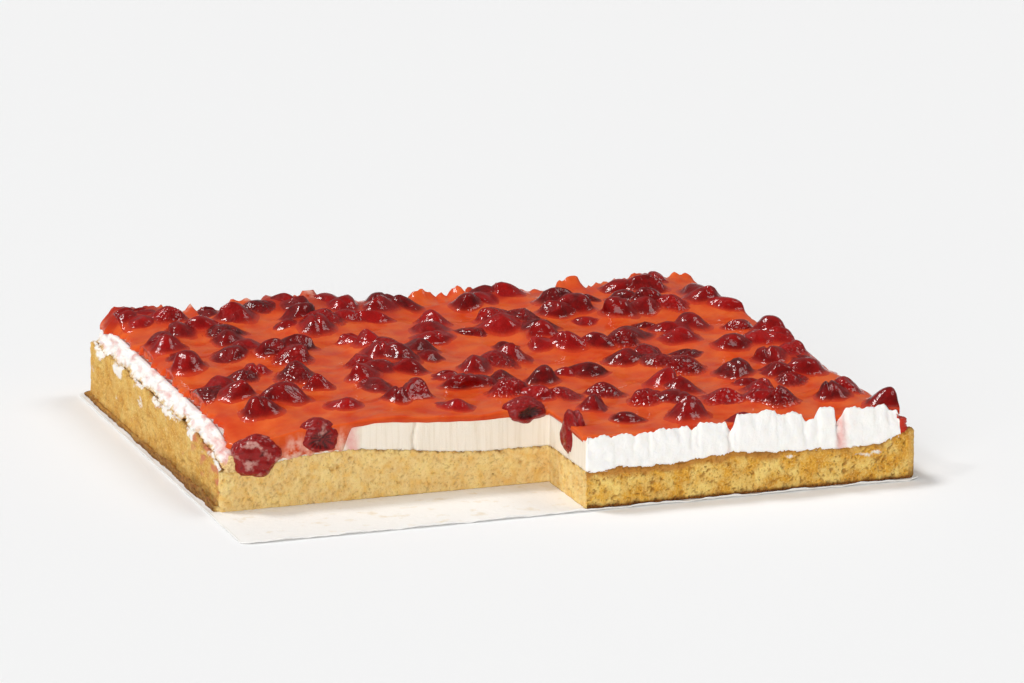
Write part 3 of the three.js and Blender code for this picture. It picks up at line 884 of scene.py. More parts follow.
@dataclass
class Sponge:
    """The sponge: an open crumb on the front and the two cut faces, and a baked skin on the other sides.

    A row of top gives a ring's inset, its share of the rim's unevenness and the radii of its corners.
    """

    levels: int = 27
    steps: Numbers = (0.75, 1.6, 1.6, 0.9, 0.8, 0.8)
    corners: Numbers = (0.8, 5, 14, 4, 2, 0.8)
    pit_depth: float = 1.5
    bedded: float = 0.25
    curl_up: Numbers = (0.0, 0.45, 0.95, 1.0, 0.62, 0.45, 0.6)
    curl_out: Numbers = (0.9, 1.0, 0.97, 0.82, 0.56, 0.3, 0.12)
    top: Rows = ((2.6, 0.9), (4.5, 0.5), (7.0, 0.0))
    inner: Rows = ((38.0, 20.0), (84.0, 50.0))
    finish: SpongeFinish = field(default_factory=SpongeFinish)

    def build(self) -> list[Piece]:
        """Builds the sponge.

        A wall's point at level t lies at height foot + t (rim - foot), where rim is the local height of the
        upper edge, and a left wall's lowest levels follow the lip of crust instead. The foot is bedded a
        little into the paper. A point is pushed in by rounded edges, broad unevenness and pits.

        Returns:
            The sponge's piece.
        """
        walk, foot, shell = Outline(self.steps), PLAN.paper, Shell()
        cut, left, way = walk.cut, walk.left, walk.way
        skin = np.maximum(left, walk.hidden)
        u, v = walk.ring(0.0, self.corners).T
        plain_rim = PLAN.sponge_top(u, v)
        rim = plain_rim + (1 - cut) * (0.8 + 1.2 * wave((u - v) / 9.0, 5)) + left * PLAN.torn_rise(way)
        rim = rim + 0.35 * (ripple(u, v, 5.0, 11) + cut * ripple(way, 0.0, 2.4, 14))
        curl, reach = self._lip(way, v)
        under = {"pit": 0.0, "crust": 0.7 - 0.3 * left, "band": 0.0}
        shell.add(walk.inner(60.0, 40.0), foot, **under)
        tuck = 1.0 + 1.8 * (1 - cut) - left * self.curl_out[0] * reach
        shell.add(walk.ring(0.0, self.corners, tuck), foot - self.bedded, **under)
        merged = walk.long_cut * smooth(92.0, 62.0, u)
        for level, t in enumerate(np.linspace(0.0, 1.0, self.levels)):
            sunk = self.bedded if level == 0 else 0.0
            rise = (rim - foot) * t ** np.where(left > 0, 1.25, 1.0)
            z = foot + rise - sunk
            lip = left * 0.12 * reach * bump(rise, 9.0)
            if level < len(self.curl_up):
                z = np.where(left > 0, foot - sunk + self.curl_up[level] * curl, z)
                lip = left * self.curl_out[level] * reach
            pit = self._pits(walk, z, rise)
            round_top = 1.6 * np.clip(1.0 - (rim - z) / 2.2, 0.0, 1.0) ** 2
            round_foot = 0.8 * np.clip(1.0 - rise / 2.0, 0.0, 1.0) ** 2
            uneven = 0.8 * (0.5 + 0.5 * wave((u + 1.3 * v) / 11.0, 2))
            rough = 0.25 * ripple(way, z, 2.4, 9) + 0.3 * ripple(way, z, 9.0, 10) * (1 - 0.5 * cut)
            push = (1 - cut) * (round_top + round_foot + uneven) + rough * (1 - 0.5 * skin)
            push = push + self.pit_depth * pit - lip
            crust = self._crust(rim - z, rise, cut, skin, way, v) * (1 - 0.85 * merged)
            band_depth = 3.6 + 1.6 * ripple(way, z, 20.0, 17)
            shell.add(
                walk.ring(0.0, self.corners, push),
                z,
                pit=np.clip(pit, 0, 1),
                crust=np.maximum(crust, left * bump(level - 5.0, 1.1) * 0.62),
                band=bump(rim - z, band_depth) * walk.front * (1 - 0.7 * smooth(300, 330, u)),
            )
        for inset, uneven_share in self.top:
            place = walk.ring(inset, self.corners)
            z = PLAN.sponge_top(*place.T) + uneven_share * (rim - plain_rim)
            shell.add(place, z, pit=0.0, crust=0.3, band=0.0)
        for inset, arc in self.inner:
            place = walk.inner(inset, arc)
            shell.add(place, PLAN.sponge_top(*place.T), pit=0.0, crust=0.3, band=0.0)
        smear, juice = self._smears(walk, np.array(shell.rings), rim)
        browned = skin * 0.85 - 0.25 * walk.on(Side.LEFT, Side.RIGHT)
        material = self.finish.material()
        piece = shell.close("crumb", material, pale=0.8 * cut, skin=browned, smear=smear, juice=juice)
        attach(piece, "root")
        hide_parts("sponge")
        return [piece]

    @staticmethod
    def _pits(walk: Outline, z: Array, rise: Array) -> Array:
        """Depth of the crumb's pores, wide ones and small ones, on a wall that is bent by a ripple.

        Args:
            walk: the outline.
            z: height of each sample.
            rise: its height over the foot, which stays closed.

        Returns:
            The depth from 0 to 1. A baked skin has next to none.
        """
        way, cut = walk.way, walk.cut
        bend = 0.9 * ripple(way, z, 4.5, 15)
        closed = 0.5 * walk.left + 0.9 * walk.hidden
        wide = pores(way + bend, z + 0.7 * bend, 3.0, 0.6, 5) * (1 - closed) * smooth(0, 2.5, rise)
        wide = wide * (1 - 0.3 * cut) * (0.75 + 0.4 * ripple(way, z, 16.0, 16))
        small = pores(way - bend, z + 0.4 * bend, 1.9, 0.5, 8) * (1 - 0.7 * closed) * (1 - 0.2 * cut)
        return np.maximum(wide, 0.75 * small)

    @staticmethod
    def _lip(way: Array, v: Array) -> tuple[Array, Array]:
        """How high the crust lip curls up along the left side, and how far it stands out."""
        ends = smooth(PLAN.depth - 2, PLAN.depth - 14, v) * smooth(PLAN.cut_depth - 1, PLAN.cut_depth + 8, v)
        high = 3.0 + 4.2 * smooth(270, 90, v) + 1.3 * wave(way / 3.1, 9) + 0.5 * wave(way / 1.1, 7)
        reach = PLAN.lip - 0.6 + 0.9 * wave(way / 5.0, 6) + 0.4 * wave(way / 1.6, 8)
        return np.clip(high, 1.0, 9.0) * (0.25 + 0.75 * ends), np.clip(reach, 2.5, PLAN.lip)

    @staticmethod
    def _crust(below: Array, rise: Array, cut: Array, skin: Array, way: Array, v: Array) -> Array:
        """How browned a place is.

        A cut face shows crust as a thin broken line at the top. The other sides show a band of a few
        millimetres there, and all of them a thin dark line at the foot, which widens to the curled lip on the
        left.

        Args:
            below: depth below the rim in millimetres.
            rise: height above the foot in millimetres.
            cut: 1 on the cut faces.
            skin: 1 on the sides with a baked skin.
            way: distance along the outline.
            v: distance from the front.

        Returns:
            The browning from 0 to 1.
        """
        top = bump(below, 1.9 + 1.2 * wave(way / 13.0, 3)) * (1 - cut) * 0.42
        line = bump(below, 1.4) * cut * (0.42 + 0.35 * wave(way / 1.9, 4))
        lip = 3.6 + 3.4 * smooth(260, 90, v) + 1.2 * wave(way / 4.0, 5)
        foot = np.where(cut > 0, 0.5, np.where(skin > 0, lip, 2.6 + 0.9 * wave(way / 2.1, 7)))
        base = bump(rise, foot) * np.where(skin > 0, 0.66, np.where(cut > 0, 0.5, 0.9))
        return np.clip(top + line + base, 0.0, 1.0)

    @staticmethod
    def _smears(walk: Outline, stack: Array, rim: Array) -> tuple[Array, Array]:
        """Where cream and juice have run over the crumb.

        Both are bells along the walk that fade down from the rim: cream along the top of the left side and
        near the right end of the front, and juice down the left side towards the cut.

        Args:
            walk: the outline.
            stack: (u, v, z) of the rings.
            rim: height of the upper edge along the walk.

        Returns:
            The cream's and the juice's strength on the stack, from 0 to 1.
        """
        u, v, z = stack.transpose(2, 0, 1)
        below, drawn = rim - z, 0.33 * v
        cream = fade(below, 6.5) * (0.75 + 0.6 * ripple(drawn, z, 11.0, 31))
        cream = walk.left * (cream + 0.7 * np.clip(ripple(drawn, z, 13.0, 35) - 0.35, 0, 1))
        on_front = 0.6 * fade(below, 1.1)
        for at, width, down, depth in ((372, 16, 5.0, 3.0), (321, 7, 4.0, 1.8)):
            on_front = on_front + 0.95 * bump(u - at, width) * fade(np.abs(below - down), depth)
        wet = bump(v - 75, 42) * fade(below, 12.0) + 0.3
        juice = walk.left * wet * (0.7 + 0.8 * ripple(drawn, z, 8.0, 33))
        return np.clip(cream + walk.front * on_front, 0, 1), np.clip(juice, 0, 1)


@dataclass
class Cream:
    """The cream: torn into crags along the front, sloping on the left, cut smooth on the two knife faces.

    Foot, shoulder and crest are insets of each side. A row of over_edge gives a ring's share of the way from
    shoulder to crest and how much of a crag's height it keeps.
    """

    levels: int = 19
    steps: Numbers = (0.8, 1.8, 1.6, 0.9, 1.0, 1.0)
    corners: Numbers = (1, 6, 11, 5, 2, 1)
    foot: Numbers = (1.2, 3.5, 3.0, 3.0, 0.4, 0.4)
    shoulder: Numbers = (1.0, 5.5, 4.2, 7.0, 0.4, 0.4)
    crest: Numbers = (5.0, 8.0, 7.0, 10.0, 3.0, 3.0)
    beneath: Rows = ((84.0, 50.0), (30.0, 16.0), (8.0, 3.0))
    over_edge: Rows = ((0.16, 0.99), (0.45, 0.92), (0.75, 0.78), (1.0, 0.6))
    behind_edge: Rows = ((9.0, 0.25), (13.0, 0.0))
    behind_corners: Numbers = (1, 3, 8, 3, 1, 3)
    inner: Rows = ((36.0, 18.0), (84.0, 50.0))
    slit: float = 115.0
    finish: CreamFinish = field(default_factory=CreamFinish)

    def build(self) -> list[Piece]:
        """Builds the cream.

        A wall's point at level t lies between the foot ring and the shoulder ring by t, at height foot + t
        (brim - foot). Along the front the brim is the glaze plus the crag's height, and each crag stands in
        its own plane, with a groove where it meets the next.

        Returns:
            The cream's piece.
        """
        walk, shell = Outline(self.steps), Shell()
        cut, front, left, way = walk.cut, walk.front, walk.left, walk.way
        u, v = walk.ring(self.foot, self.corners).T
        ragged = (1 - cut) * (0.6 * ripple(way, 0.0, 6.0, 21) - 0.5 * front)
        ragged = ragged + walk.hidden * 0.9 * ripple(way, 0.0, 17.0, 54)
        ragged = ragged + left * (PLAN.torn_rise(way) + 0.8 * ripple(way, 0.0, 3.0, 29))
        z_foot = PLAN.sponge_top(u, v) - 0.3 + 0.4 * (1 - cut) + ragged
        crag = PLAN.crag(u)
        brim = PLAN.cream_top(u, v) + np.where(front > 0, PLAN.glaze + crag, 0.4)
        for inset, arc in self.beneath:
            place = walk.inner(inset, arc)
            shell.add(place, PLAN.sponge_top(*place.T) + PLAN.gap)
        low, high, top = (walk.ring(i, self.corners) for i in (self.foot, self.shoulder, self.crest))
        inward = walk.inward()
        for t in np.linspace(0.0, 1.0, self.levels):
            z = z_foot + (brim - z_foot) * t
            push = self._relief(walk, u, z, t)
            shell.add((1 - t) * low + t * high + inward * push[:, None], z)
        edge_push = self._relief(walk, u, brim, 1.0)
        for share, keep in self.over_edge:
            place = (1 - share) * high + share * top
            up = PLAN.cream_top(*place.T)
            on_front = up + (PLAN.glaze * (1 - share) + crag) * keep
            rough = 0.35 * front * ripple(*place.T, 4.0, 25)
            z = np.where(front > 0, on_front, up + 0.3 * (1 - share)) + rough
            shell.add(place + inward * (edge_push * (1 - share))[:, None], z)
        for inset, keep in self.behind_edge:
            place = walk.ring(inset, self.behind_corners)
            shell.add(place, PLAN.cream_top(*place.T) + keep * front * crag)
        for inset, arc in self.inner:
            place = walk.inner(inset, arc)
            shell.add(place, PLAN.cream_top(*place.T) - 2.5)
        stack = np.array(shell.rings)
        above = stack[..., 2] - z_foot
        piece = shell.close(
            "whipped_cream",
            self.finish.material(),
            stain=self._stain(walk, stack, brim),
            cut=cut,
            soaked=0.75 * left * fade(above, 6.0) + walk.long_cut * smooth(17.0, 11.0, u),
            run=front * smooth(390.0, 393.5, u) + walk.on(Side.RIGHT) * smooth(14.0, 4.0, v),
            crumbs=(1 - cut) * fade(above, 1.0 + 1.6 * left),
        )
        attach(piece, "root")
        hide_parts("cream")
        return [piece]

    def _relief(self, walk: Outline, u: Array, z: Array, t: float) -> Array:
        """How far each point of the wall is pushed in.

        Front: each crag has its own plane, with a groove at its start that deepens upwards, and soft lumps.
        Left and hidden sides: torn lumps. Cut faces: faint upright waves of the knife and one open slit.

        Args:
            walk: the outline.
            u: distance of each sample from the cake's left side.
            z: its height.
            t: the level from 0 at the foot to 1 at the brim.

        Returns:
            The way inwards in millimetres.
        """
        way, plane, groove = walk.way, np.zeros(len(u)), np.zeros(len(u))
        for i, (start, _) in enumerate(PLAN.crags[1:]):
            plane = plane + 1.1 * math.sin(2.4 * i + 1.0) * smooth(start - 0.9, start + 0.9, u)
            groove = groove + (0.2 + 0.8 * abs(math.sin(5.0 * i))) * bump(u - start, 1.1)
        for at, deep in PLAN.clefts:
            groove = groove + 0.45 * deep * bump(u - at - 0.8 * np.sin(z / 3.0), 1.3)
        torn = ripples(way, z, ((0.3, 9.0, 22), (0.14, 2.4, 23)))
        chunk = np.clip(ripple(way, 0.6 * z, 13.0, 26), 0, 1) * smooth(0.35, 0.7, t)
        on_front = 0.5 * (plane - plane.mean()) + groove * smooth(0.1, 0.7, t) + 1.1 * (torn + chunk)
        on_left = 1.3 * torn + ripples(way, z, ((0.8, 9.0, 24), (0.4, 2.6, 27), (0.3, 1.4, 28)))
        on_hidden = 2.4 * torn + ripples(way, z, ((0.9, 12.0, 52), (0.4, 4.0, 53)))
        knife = walk.cut * 0.1 * wave(way / 0.9, 3)
        slit = walk.long_cut * 2.6 * bump(u - self.slit - 0.5 * np.sin(z / 2.0), 0.8)
        push = walk.front * (on_front + smooth(0.7, 1.0, t)) + walk.left * on_left + walk.hidden * on_hidden
        return push + knife + slit

    @staticmethod
    def _stain(walk: Outline, stack: Array, brim: Array) -> Array:
        """Where juice has tinted the cream: near the right crags, on the left slope and under the glaze.

        Args:
            walk: the outline.
            stack: (u, v, z) of the rings.
            brim: height of the wall's upper edge along the walk.

        Returns:
            The tint's strength on the stack, from 0 to 1.
        """
        u, v, z = stack.transpose(2, 0, 1)
        below = brim - z
        crags = walk.front * (0.5 * smooth(318, 345, u) + 0.7 * bump(u - 353, 3) + 0.7 * bump(u - 284, 3))
        slope = walk.left * (0.5 + 0.5 * ripple(0.33 * v, z, 7.0, 41) + 0.7 * bump(v - 75, 25))
        edge = walk.cut * 0.7 * fade(below, 0.9)
        edge = edge + walk.long_cut * (0.9 * bump(u - 78, 6) + 0.5 * bump(u - 190, 8) * fade(below, 4.0))
        return np.clip(0.7 * crags + 0.85 * slope + edge, 0, 1)


@dataclass(frozen=True)
class Berry:
    """A raspberry's place and size on the glaze in millimetres, and the group of touching ones it is in."""

    u: float
    v: float
    radius: float
    height: float
    group: int

    def gap_to(self, u: float, v: float) -> float:
        """Distance from its middle to a place."""
        return math.hypot(self.u - u, self.v - v)


@dataclass(frozen=True)
class BaredBerry:
    """A raspberry that the knife laid bare.

    Attributes:
        middle: (u, v, z) of its solid in millimetres.
        half: half its width, depth and height in millimetres.
        grown: how much larger each of them looks.
        shift: how far the looks lie from the solid's middle.
        face: the cut face it looks out of.
        proud: how far it stands out of that face.
        hollow: how far its core lies open.
        halved: 1 if the knife went through it, so that its cut flesh shows.
        pulp: how much pulp clings to it.
    """

    middle: Numbers
    half: Numbers
    grown: Numbers
    shift: Numbers
    face: Side
    proud: float
    hollow: float
    halved: int
    pulp: float


BARED = (
    BaredBerry((22, 65, 30), (11, 9.5, 8), (1.3, 1, 1.5), (0, 1, 1.5), Side.LONG_CUT, 3.4, 0.0, 0, 0.67),
    BaredBerry((60, 67, 38.5), (11, 8.5, 8), (1.15, 1, 1.2), (0, 1, 0.5), Side.LONG_CUT, 1.5, 0.35, 1, 0.45),
    BaredBerry((184, 68, 43), (11.5, 9, 6.5), (1.1, 1, 1.15), (0, 0, 0.5), Side.LONG_CUT, 2.6, 1.0, 1, 0.3),
    BaredBerry((201, 33, 37), (6.5, 9, 10), (1.05, 1.1, 1.4), (0, 0, 0), Side.SHORT_CUT, 2.2, 0.0, 0, 0.53),
)


@dataclass
class BerryLayout:
    """Lays every raspberry: some listed, the rest in seeded groups where most room is left.

    A placed berry's row gives u, v, radius and height.
    """

    placed: tuple[Rows, ...] = (
        ((269, 29, 12, 12),),
        ((235, 36, 9.5, 6),),
        ((223, 60, 8.5, 9),),
        ((386, 17, 11, 12),),
        ((243, 92, 10.5, 9),),
        ((301, 56, 11.5, 9),),
        ((288, 84, 10, 10), (280, 98, 10, 11)),
        ((365, 43, 10, 10), (377, 54, 10, 9)),
        ((332, 40, 10, 11), (322, 51, 9, 7), (328, 65, 10, 9)),
        ((330, 110, 11, 9),),
        ((354, 103, 10.5, 9), (370, 98, 11, 10)),
        ((249, 140, 11, 8),),
        ((216, 128, 10, 11),),
        ((57, 120, 12.5, 12),),
        ((36, 100, 10.5, 11),),
        ((85, 98, 10.5, 6),),
        ((147, 81, 9.5, 6),),
        ((129, 103, 9.5, 12), (116, 97, 8, 9)),
        ((83, 140, 8, 10),),
        ((77, 165, 12, 11),),
        ((24, 206, 11, 12),),
        ((23, 250, 10, 10), (24, 265, 10, 9)),
        ((83, 306, 12, 12),),
        ((116, 130, 10.5, 6),),
        ((167, 127, 10.5, 9), (181, 131, 9.5, 6)),
    )
    groups: int = 50
    edge_room: float = 14.0
    room: float = 2 * PLAN.gap + 0.6
    touch: float = 0.8
    radii: Numbers = (9.6, 2.2)
    heights: Numbers = (6.5, 5.5)
    candidates: int = 80
    growth_tries: int = 24
    sunken: int = 24
    sunken_tries: int = 4000
    sunken_radii: Numbers = (6.8, 2.4)
    sunken_heights: Numbers = (3.6, 3.4)
    state: int = 20260

    def _draw(self) -> float:
        """The next number from 0 to 1 of a minimal linear congruence."""
        self.state = (self.state * 48271) % 2147483647
        return self.state / 2147483647

    def _place(self) -> tuple[float, float]:
        """A random place on the whole cake."""
        return PLAN.length * self._draw(), PLAN.depth * self._draw()

    def _fresh(self, u: float, v: float, group: int, radii: Numbers, heights: Numbers) -> Berry:
        """A berry at a place, of random size from each least number up by as much as the one beside it."""
        radius = radii[0] + radii[1] * self._draw()
        return Berry(u, v, radius, heights[0] + heights[1] * self._draw(), group)

    def _has_room(self, berry: Berry, berries: list[Berry]) -> bool:
        """True if a berry keeps to the glaze and clear of every berry of another group.

        Args:
            berry: the one to lay.
            berries: those laid already.

        Returns:
            Whether it fits.
        """
        u, v, radius = berry.u, berry.v, berry.radius
        front = PLAN.cut_depth if u < PLAN.cut_length + self.edge_room else 0.0
        inside = self.edge_room < u < PLAN.length - self.edge_room
        inside = inside and front + self.edge_room < v < PLAN.depth - self.edge_room
        off_bared = all(math.hypot(b.middle[0] - u, b.middle[1] - v) > b.half[0] + radius + 1 for b in BARED)
        clear = all(b.group == berry.group or b.gap_to(u, v) > b.radius + radius + self.room for b in berries)
        return inside and off_bared and clear

    def lay(self) -> list[Berry]:
        """Lays the placed groups, then each further group at the roomiest of some random places.

        Returns:
            Every glazed raspberry.
        """
        berries = [Berry(*row, i) for i, rows in enumerate(self.placed) for row in rows]
        for group in range(len(self.placed), self.groups):
            first, most = None, 0.0
            for _ in range(self.candidates):
                berry = self._fresh(*self._place(), group, self.radii, self.heights)
                room = min(b.gap_to(berry.u, berry.v) for b in berries)
                if room > most and self._has_room(berry, berries):
                    first, most = berry, room
            if first is None:
                break
            berries += self._grow(first, berries)
        return berries + self._sunken(berries)

    def _grow(self, first: Berry, berries: list[Berry]) -> list[Berry]:
        """Grows a group of three to five touching berries from its first.

        Args:
            first: the first berry.
            berries: those of the groups laid before.

        Returns:
            The group.
        """
        found = [first]
        wanted = 3 + math.floor(3 * self._draw())
        for _ in range(self.growth_tries):
            if len(found) >= wanted:
                break
            source = found[math.floor(len(found) * self._draw())]
            sized = self._fresh(0.0, 0.0, first.group, self.radii, self.heights)
            angle, step = TURN * self._draw(), self.touch * (source.radius + sized.radius)
            u, v = source.u + step * math.cos(angle), source.v + step * math.sin(angle)
            berry = Berry(u, v, sized.radius, sized.height, first.group)
            apart = all(b is source or b.gap_to(u, v) > 0.9 * (b.radius + berry.radius) for b in found)
            if apart and self._has_room(berry, berries):
                found.append(berry)
        return found

    def _sunken(self, berries: list[Berry]) -> list[Berry]:
        """Lays the small berries that lie low in the jelly, wherever the others leave a gap."""
        sunken: list[Berry] = []
        for _ in range(self.sunken_tries):
            if len(sunken) >= self.sunken:
                break
            berry = self._fresh(*self._place(), -1, self.sunken_radii, self.sunken_heights)
            near = (b.gap_to(berry.u, berry.v) <= 0.86 * (b.radius + berry.radius) for b in berries + sunken)
            if not any(near) and self._has_room(berry, []):
                sunken.append(berry)
        return sunken


@dataclass
class Glaze:
    """The jelly glaze: a thin wet sheet that drapes over the berries' feet and ends raggedly on the cream.

    Front, right, back, left and cut are insets. A split's row gives its place along the back and its depth. A
    corner's row gives its signs along u and v and its radius.
    """

    berries: list[Berry]
    step: float = 1.7
    finer: Numbers = (0.0, 0.3, 0.45, 0.65, 0.9, 1.2)
    front: float = 6.5
    right: float = 6.8
    back: float = 5.6
    left: float = 8.6
    cut: float = 0.35
    splits: Rows = ((80, 13), (238, 10), (319, 12), (359, 14))
    corners: Rows = ((1, -1, 6.0), (1, 1, 13.0), (-1, 1, 7.0))
    finish: GlazeFinish = field(default_factory=GlazeFinish)

    def __post_init__(self) -> None:
        """Works out where the cut's two edges and the outer edges lie."""
        self.cut_u, self.cut_v = PLAN.cut_length + self.cut, PLAN.cut_depth + self.cut
        self.far_u, self.far_v = PLAN.length - self.right, PLAN.depth - self.back

    def _graded(self, start: float, end: float) -> Array:
        """Places from start to end that crowd towards both ends: fine cells first, then even ones."""
        fine = np.cumsum(self.finer)
        low, high = start + fine, end - fine[::-1]
        count = int(round((high[0] - low[-1]) / self.step))
        return np.concatenate([low[:-1], np.linspace(low[-1], high[0], count + 1), high[1:]])

    def build(self) -> list[Piece]:
        """Builds the glaze.

        A grid of (u, v) covers the outline, less the cut. Its ragged edges are drawn in by a fray that fades
        inwards. The upper face lies at cream + thickness + skirts, and the lower face a little under the
        cream. Two more rings round the edge bulge over the cut faces, and hang as a torn sheet down to the
        sponge near the cut's left end.

        Returns:
            The glaze's piece.
        """
        low_u, high_u = self._graded(self.left, self.cut_u), self._graded(self.cut_u, self.far_u)
        low_v, high_v = self._graded(self.front, self.cut_v), self._graded(self.cut_v, self.far_v)
        grid_u, grid_v = np.meshgrid(np.append(low_u, high_u[1:]), np.append(low_v, high_v[1:]))
        u, v, edge = self._ragged(grid_u, grid_v)
        z = self._height(u, v, grid_u, grid_v, edge)
        loop, cells = self._loop_and_cells(grid_u.shape, len(low_u) - 1, len(low_v) - 1)
        is_cut = self._on_cut(grid_u, grid_v).ravel()[loop]
        top = np.column_stack([u.ravel(), v.ravel(), z.ravel()])
        base = np.column_stack([u.ravel(), v.ravel(), PLAN.cream_top(u, v).ravel() - 0.3])
        middle, lower, droop, milky = self._hanging(top[loop], base[loop], is_cut)
        base[loop, 2] -= droop
        count, ring = len(top), np.arange(len(loop))
        points = np.concatenate([top, base, middle, lower])
        rings = (count + loop, 2 * count + len(loop) + ring, 2 * count + ring, loop)
        walls = [np.stack([a, np.roll(a, -1), np.roll(b, -1), b], -1) for a, b in zip(rings, rings[1:])]
        quads = np.concatenate([cells, cells[:, ::-1] + count, *walls[::-1]])
        deep, bare = (mark.ravel() for mark in self._colour(u, v))
        marks = {
            "deep": np.concatenate([deep, deep, np.full(2 * len(loop), 0.35)]),
            "bare": np.concatenate([bare, bare, milky]),
        }
        used = np.unique(quads)
        renumber = np.zeros(len(points), np.int64)
        renumber[used] = np.arange(len(used))
        faces = renumber[quads], np.empty((0, 3), np.int64)
        marks = {key: value[used] for key, value in marks.items()}
        piece = make_piece("jelly", points[used], faces, self.finish.material(), marks)
        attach(piece, "root")
        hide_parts("glaze")
        return [piece]

    @staticmethod
    def _hanging(top: Array, base: Array, is_cut: Array) -> tuple[Array, Array, Array, Array]:
        """The two rings between the upper and the lower edge, where jelly droops or hangs over a cut face.

        Args:
            top: (u, v, z) of the upper edge.
            base: (u, v, z) of the lower edge.
            is_cut: true on the cut sides.

        Returns:
            The middle ring, the lower ring, how far the lower edge droops, and how milky both rings look.
        """
        u, v = top[:, 0], top[:, 1]
        hangs = is_cut * smooth(79.0, 72.0, u)
        tatter = ripple(u, 0.0, 7.0, 56)
        down = base[:, 2] - PLAN.sponge_top(u, v) - 0.4 + 1.3 * tatter
        droop = is_cut * (0.15 + 0.35 * (0.5 + 0.5 * ripple(u, v, 13.0, 51)))
        droop = droop + hangs * np.clip(down - 0.3, 0.0, None)
        along = np.roll(top, -1, axis=0) - np.roll(top, 1, axis=0)
        out = np.column_stack([along[:, 1], -along[:, 0], np.zeros(len(top))])
        out = out / np.maximum(np.linalg.norm(out, axis=1), 1e-9)[:, None]
        middle = top + out * (0.3 * is_cut + hangs * (0.25 + 0.25 * tatter))[:, None]
        middle[:, 2] = 0.45 * top[:, 2] + 0.55 * base[:, 2] - 0.4 * hangs * down
        lower = top + out * (0.25 * is_cut + 0.2 * hangs)[:, None]
        lower[:, 2] = base[:, 2] - droop
        milky = np.concatenate([hangs * (0.35 + 0.5 * tatter), hangs * (0.8 + 0.4 * tatter)]).clip(0, 1)
        return middle, lower, droop, milky

    def _on_cut(self, u: Array, v: Array, near: float = 1e-6) -> Array:
        """True for the grid's points on the two cut sides."""
        on_long = (np.abs(v - self.cut_v) < near) & (u <= self.cut_u + near)
        return on_long | ((np.abs(u - self.cut_u) < near) & (v <= self.cut_v + near))

    @staticmethod
    def _loop_and_cells(shape: tuple[int, int], iu: int, iv: int) -> tuple[Array, Array]:
        """Numbers of the grid's points round the outline, anticlockwise, and the quads that fill it.

        Args:
            shape: rows and columns of the grid.
            iu: column of the cut's short face.
            iv: row of its long face.

        Returns:
            The loop and the quads.
        """
        number = np.arange(shape[0] * shape[1]).reshape(shape)
        outer = [number[0, iu:-1], number[:-1, -1], number[-1, :0:-1], number[:iv:-1, 0]]
        loop = np.concatenate([*outer, number[iv, :iu], number[iv:0:-1, iu]])
        kept = np.ones((shape[0] - 1, shape[1] - 1), bool)
        kept[:iv, :iu] = False
        a = number[:-1, :-1][kept]
        return loop, np.stack([a, a + 1, a + shape[1] + 1, a + shape[1]], -1)

    def _ragged(self, gu: Array, gv: Array) -> tuple[Array, Array, Array]:
        """Draws the torn edges in, and rounds the outer corners.

        A corner square is mapped to a quarter disc, by a √(1 - b²/2) and b √(1 - a²/2). Then each edge moves
        in by a fray that falls off as e to the power of minus the distance over 5 mm. Narrow splits cut into
        the back edge.

        Args:
            gu: the even grid's u.
            gv: the even grid's v.

        Returns:
            The drawn-in u and v, and the distance to the nearest torn edge in millimetres.
        """
        u, v, reach = gu.copy(), gv.copy(), 5.0
        for sign_u, sign_v, r in self.corners:
            mid_u = (self.far_u if sign_u > 0 else self.left) - sign_u * r
            mid_v = (self.far_v if sign_v > 0 else self.front) - sign_v * r
            a, b = (gu - mid_u) * sign_u / r, (gv - mid_v) * sign_v / r
            inside = (a > 0) & (b > 0)
            u = np.where(inside, mid_u + sign_u * r * a * np.sqrt(np.clip(1 - b * b / 2, 0, 1)), u)
            v = np.where(inside, mid_v + sign_v * r * b * np.sqrt(np.clip(1 - a * a / 2, 0, 1)), v)
        to_right, to_back = self.far_u - gu, self.far_v - gv
        to_front = np.where(gu >= PLAN.cut_length, gv - self.front, 1e3)
        to_left = np.where(gv >= PLAN.cut_depth, gu - self.left, 1e3)
        splits = sum(depth * bump(gu - at, 1.1) for at, depth in self.splits)
        tatters = 1.2 * self._fray(gv, 12) + 0.9 * wave(gv / 1.3, 9) - 5.0 * smooth(296, 330, gv)
        u = u - self._fray(gv, 11) * fade(to_right, reach) + tatters * fade(to_left, reach)
        v = v - (self._fray(gu, 13) + splits) * fade(to_back, reach)
        v = v + 0.8 * self._fray(gu, 14) * fade(to_front, reach)
        return u, v, np.minimum.reduce([to_right, to_back, to_front, to_left])

    @staticmethod
    def _fray(x: Array, seed: int) -> Array:
        """How far a torn edge is drawn in: two waves along it."""
        return 1.5 + 1.7 * wave(x / 8.0, seed) + 0.9 * wave(x / 2.3, seed + 1)

    @staticmethod
    def swell(u: Array, v: Array) -> Array:
        """Broad waves of the poured surface, with a low soft ridge where the sheet has creased."""
        ridge = np.clip(1.0 - np.abs(ripple(u, v, 34.0, 67)), 0, 1)
        return ripples(u, v, ((0.7, 38.0, 61), (0.18, 17.0, 62))) + 0.5 * ridge**4

    def skirts(self, u: Array, v: Array, share: float = 0.4, width: float = 1.28) -> Array:
        """Sum over the berries of a bell that is as high as a share of the berry and wider than its foot."""
        total = np.zeros(u.shape)
        for b in self.berries:
            near = (np.abs(u - b.u) < 3 * b.radius) & (np.abs(v - b.v) < 3 * b.radius)
            total[near] += share * b.height * bump(np.hypot(u[near] - b.u, v[near] - b.v), b.radius * width)
        return np.minimum(total, 7.0)

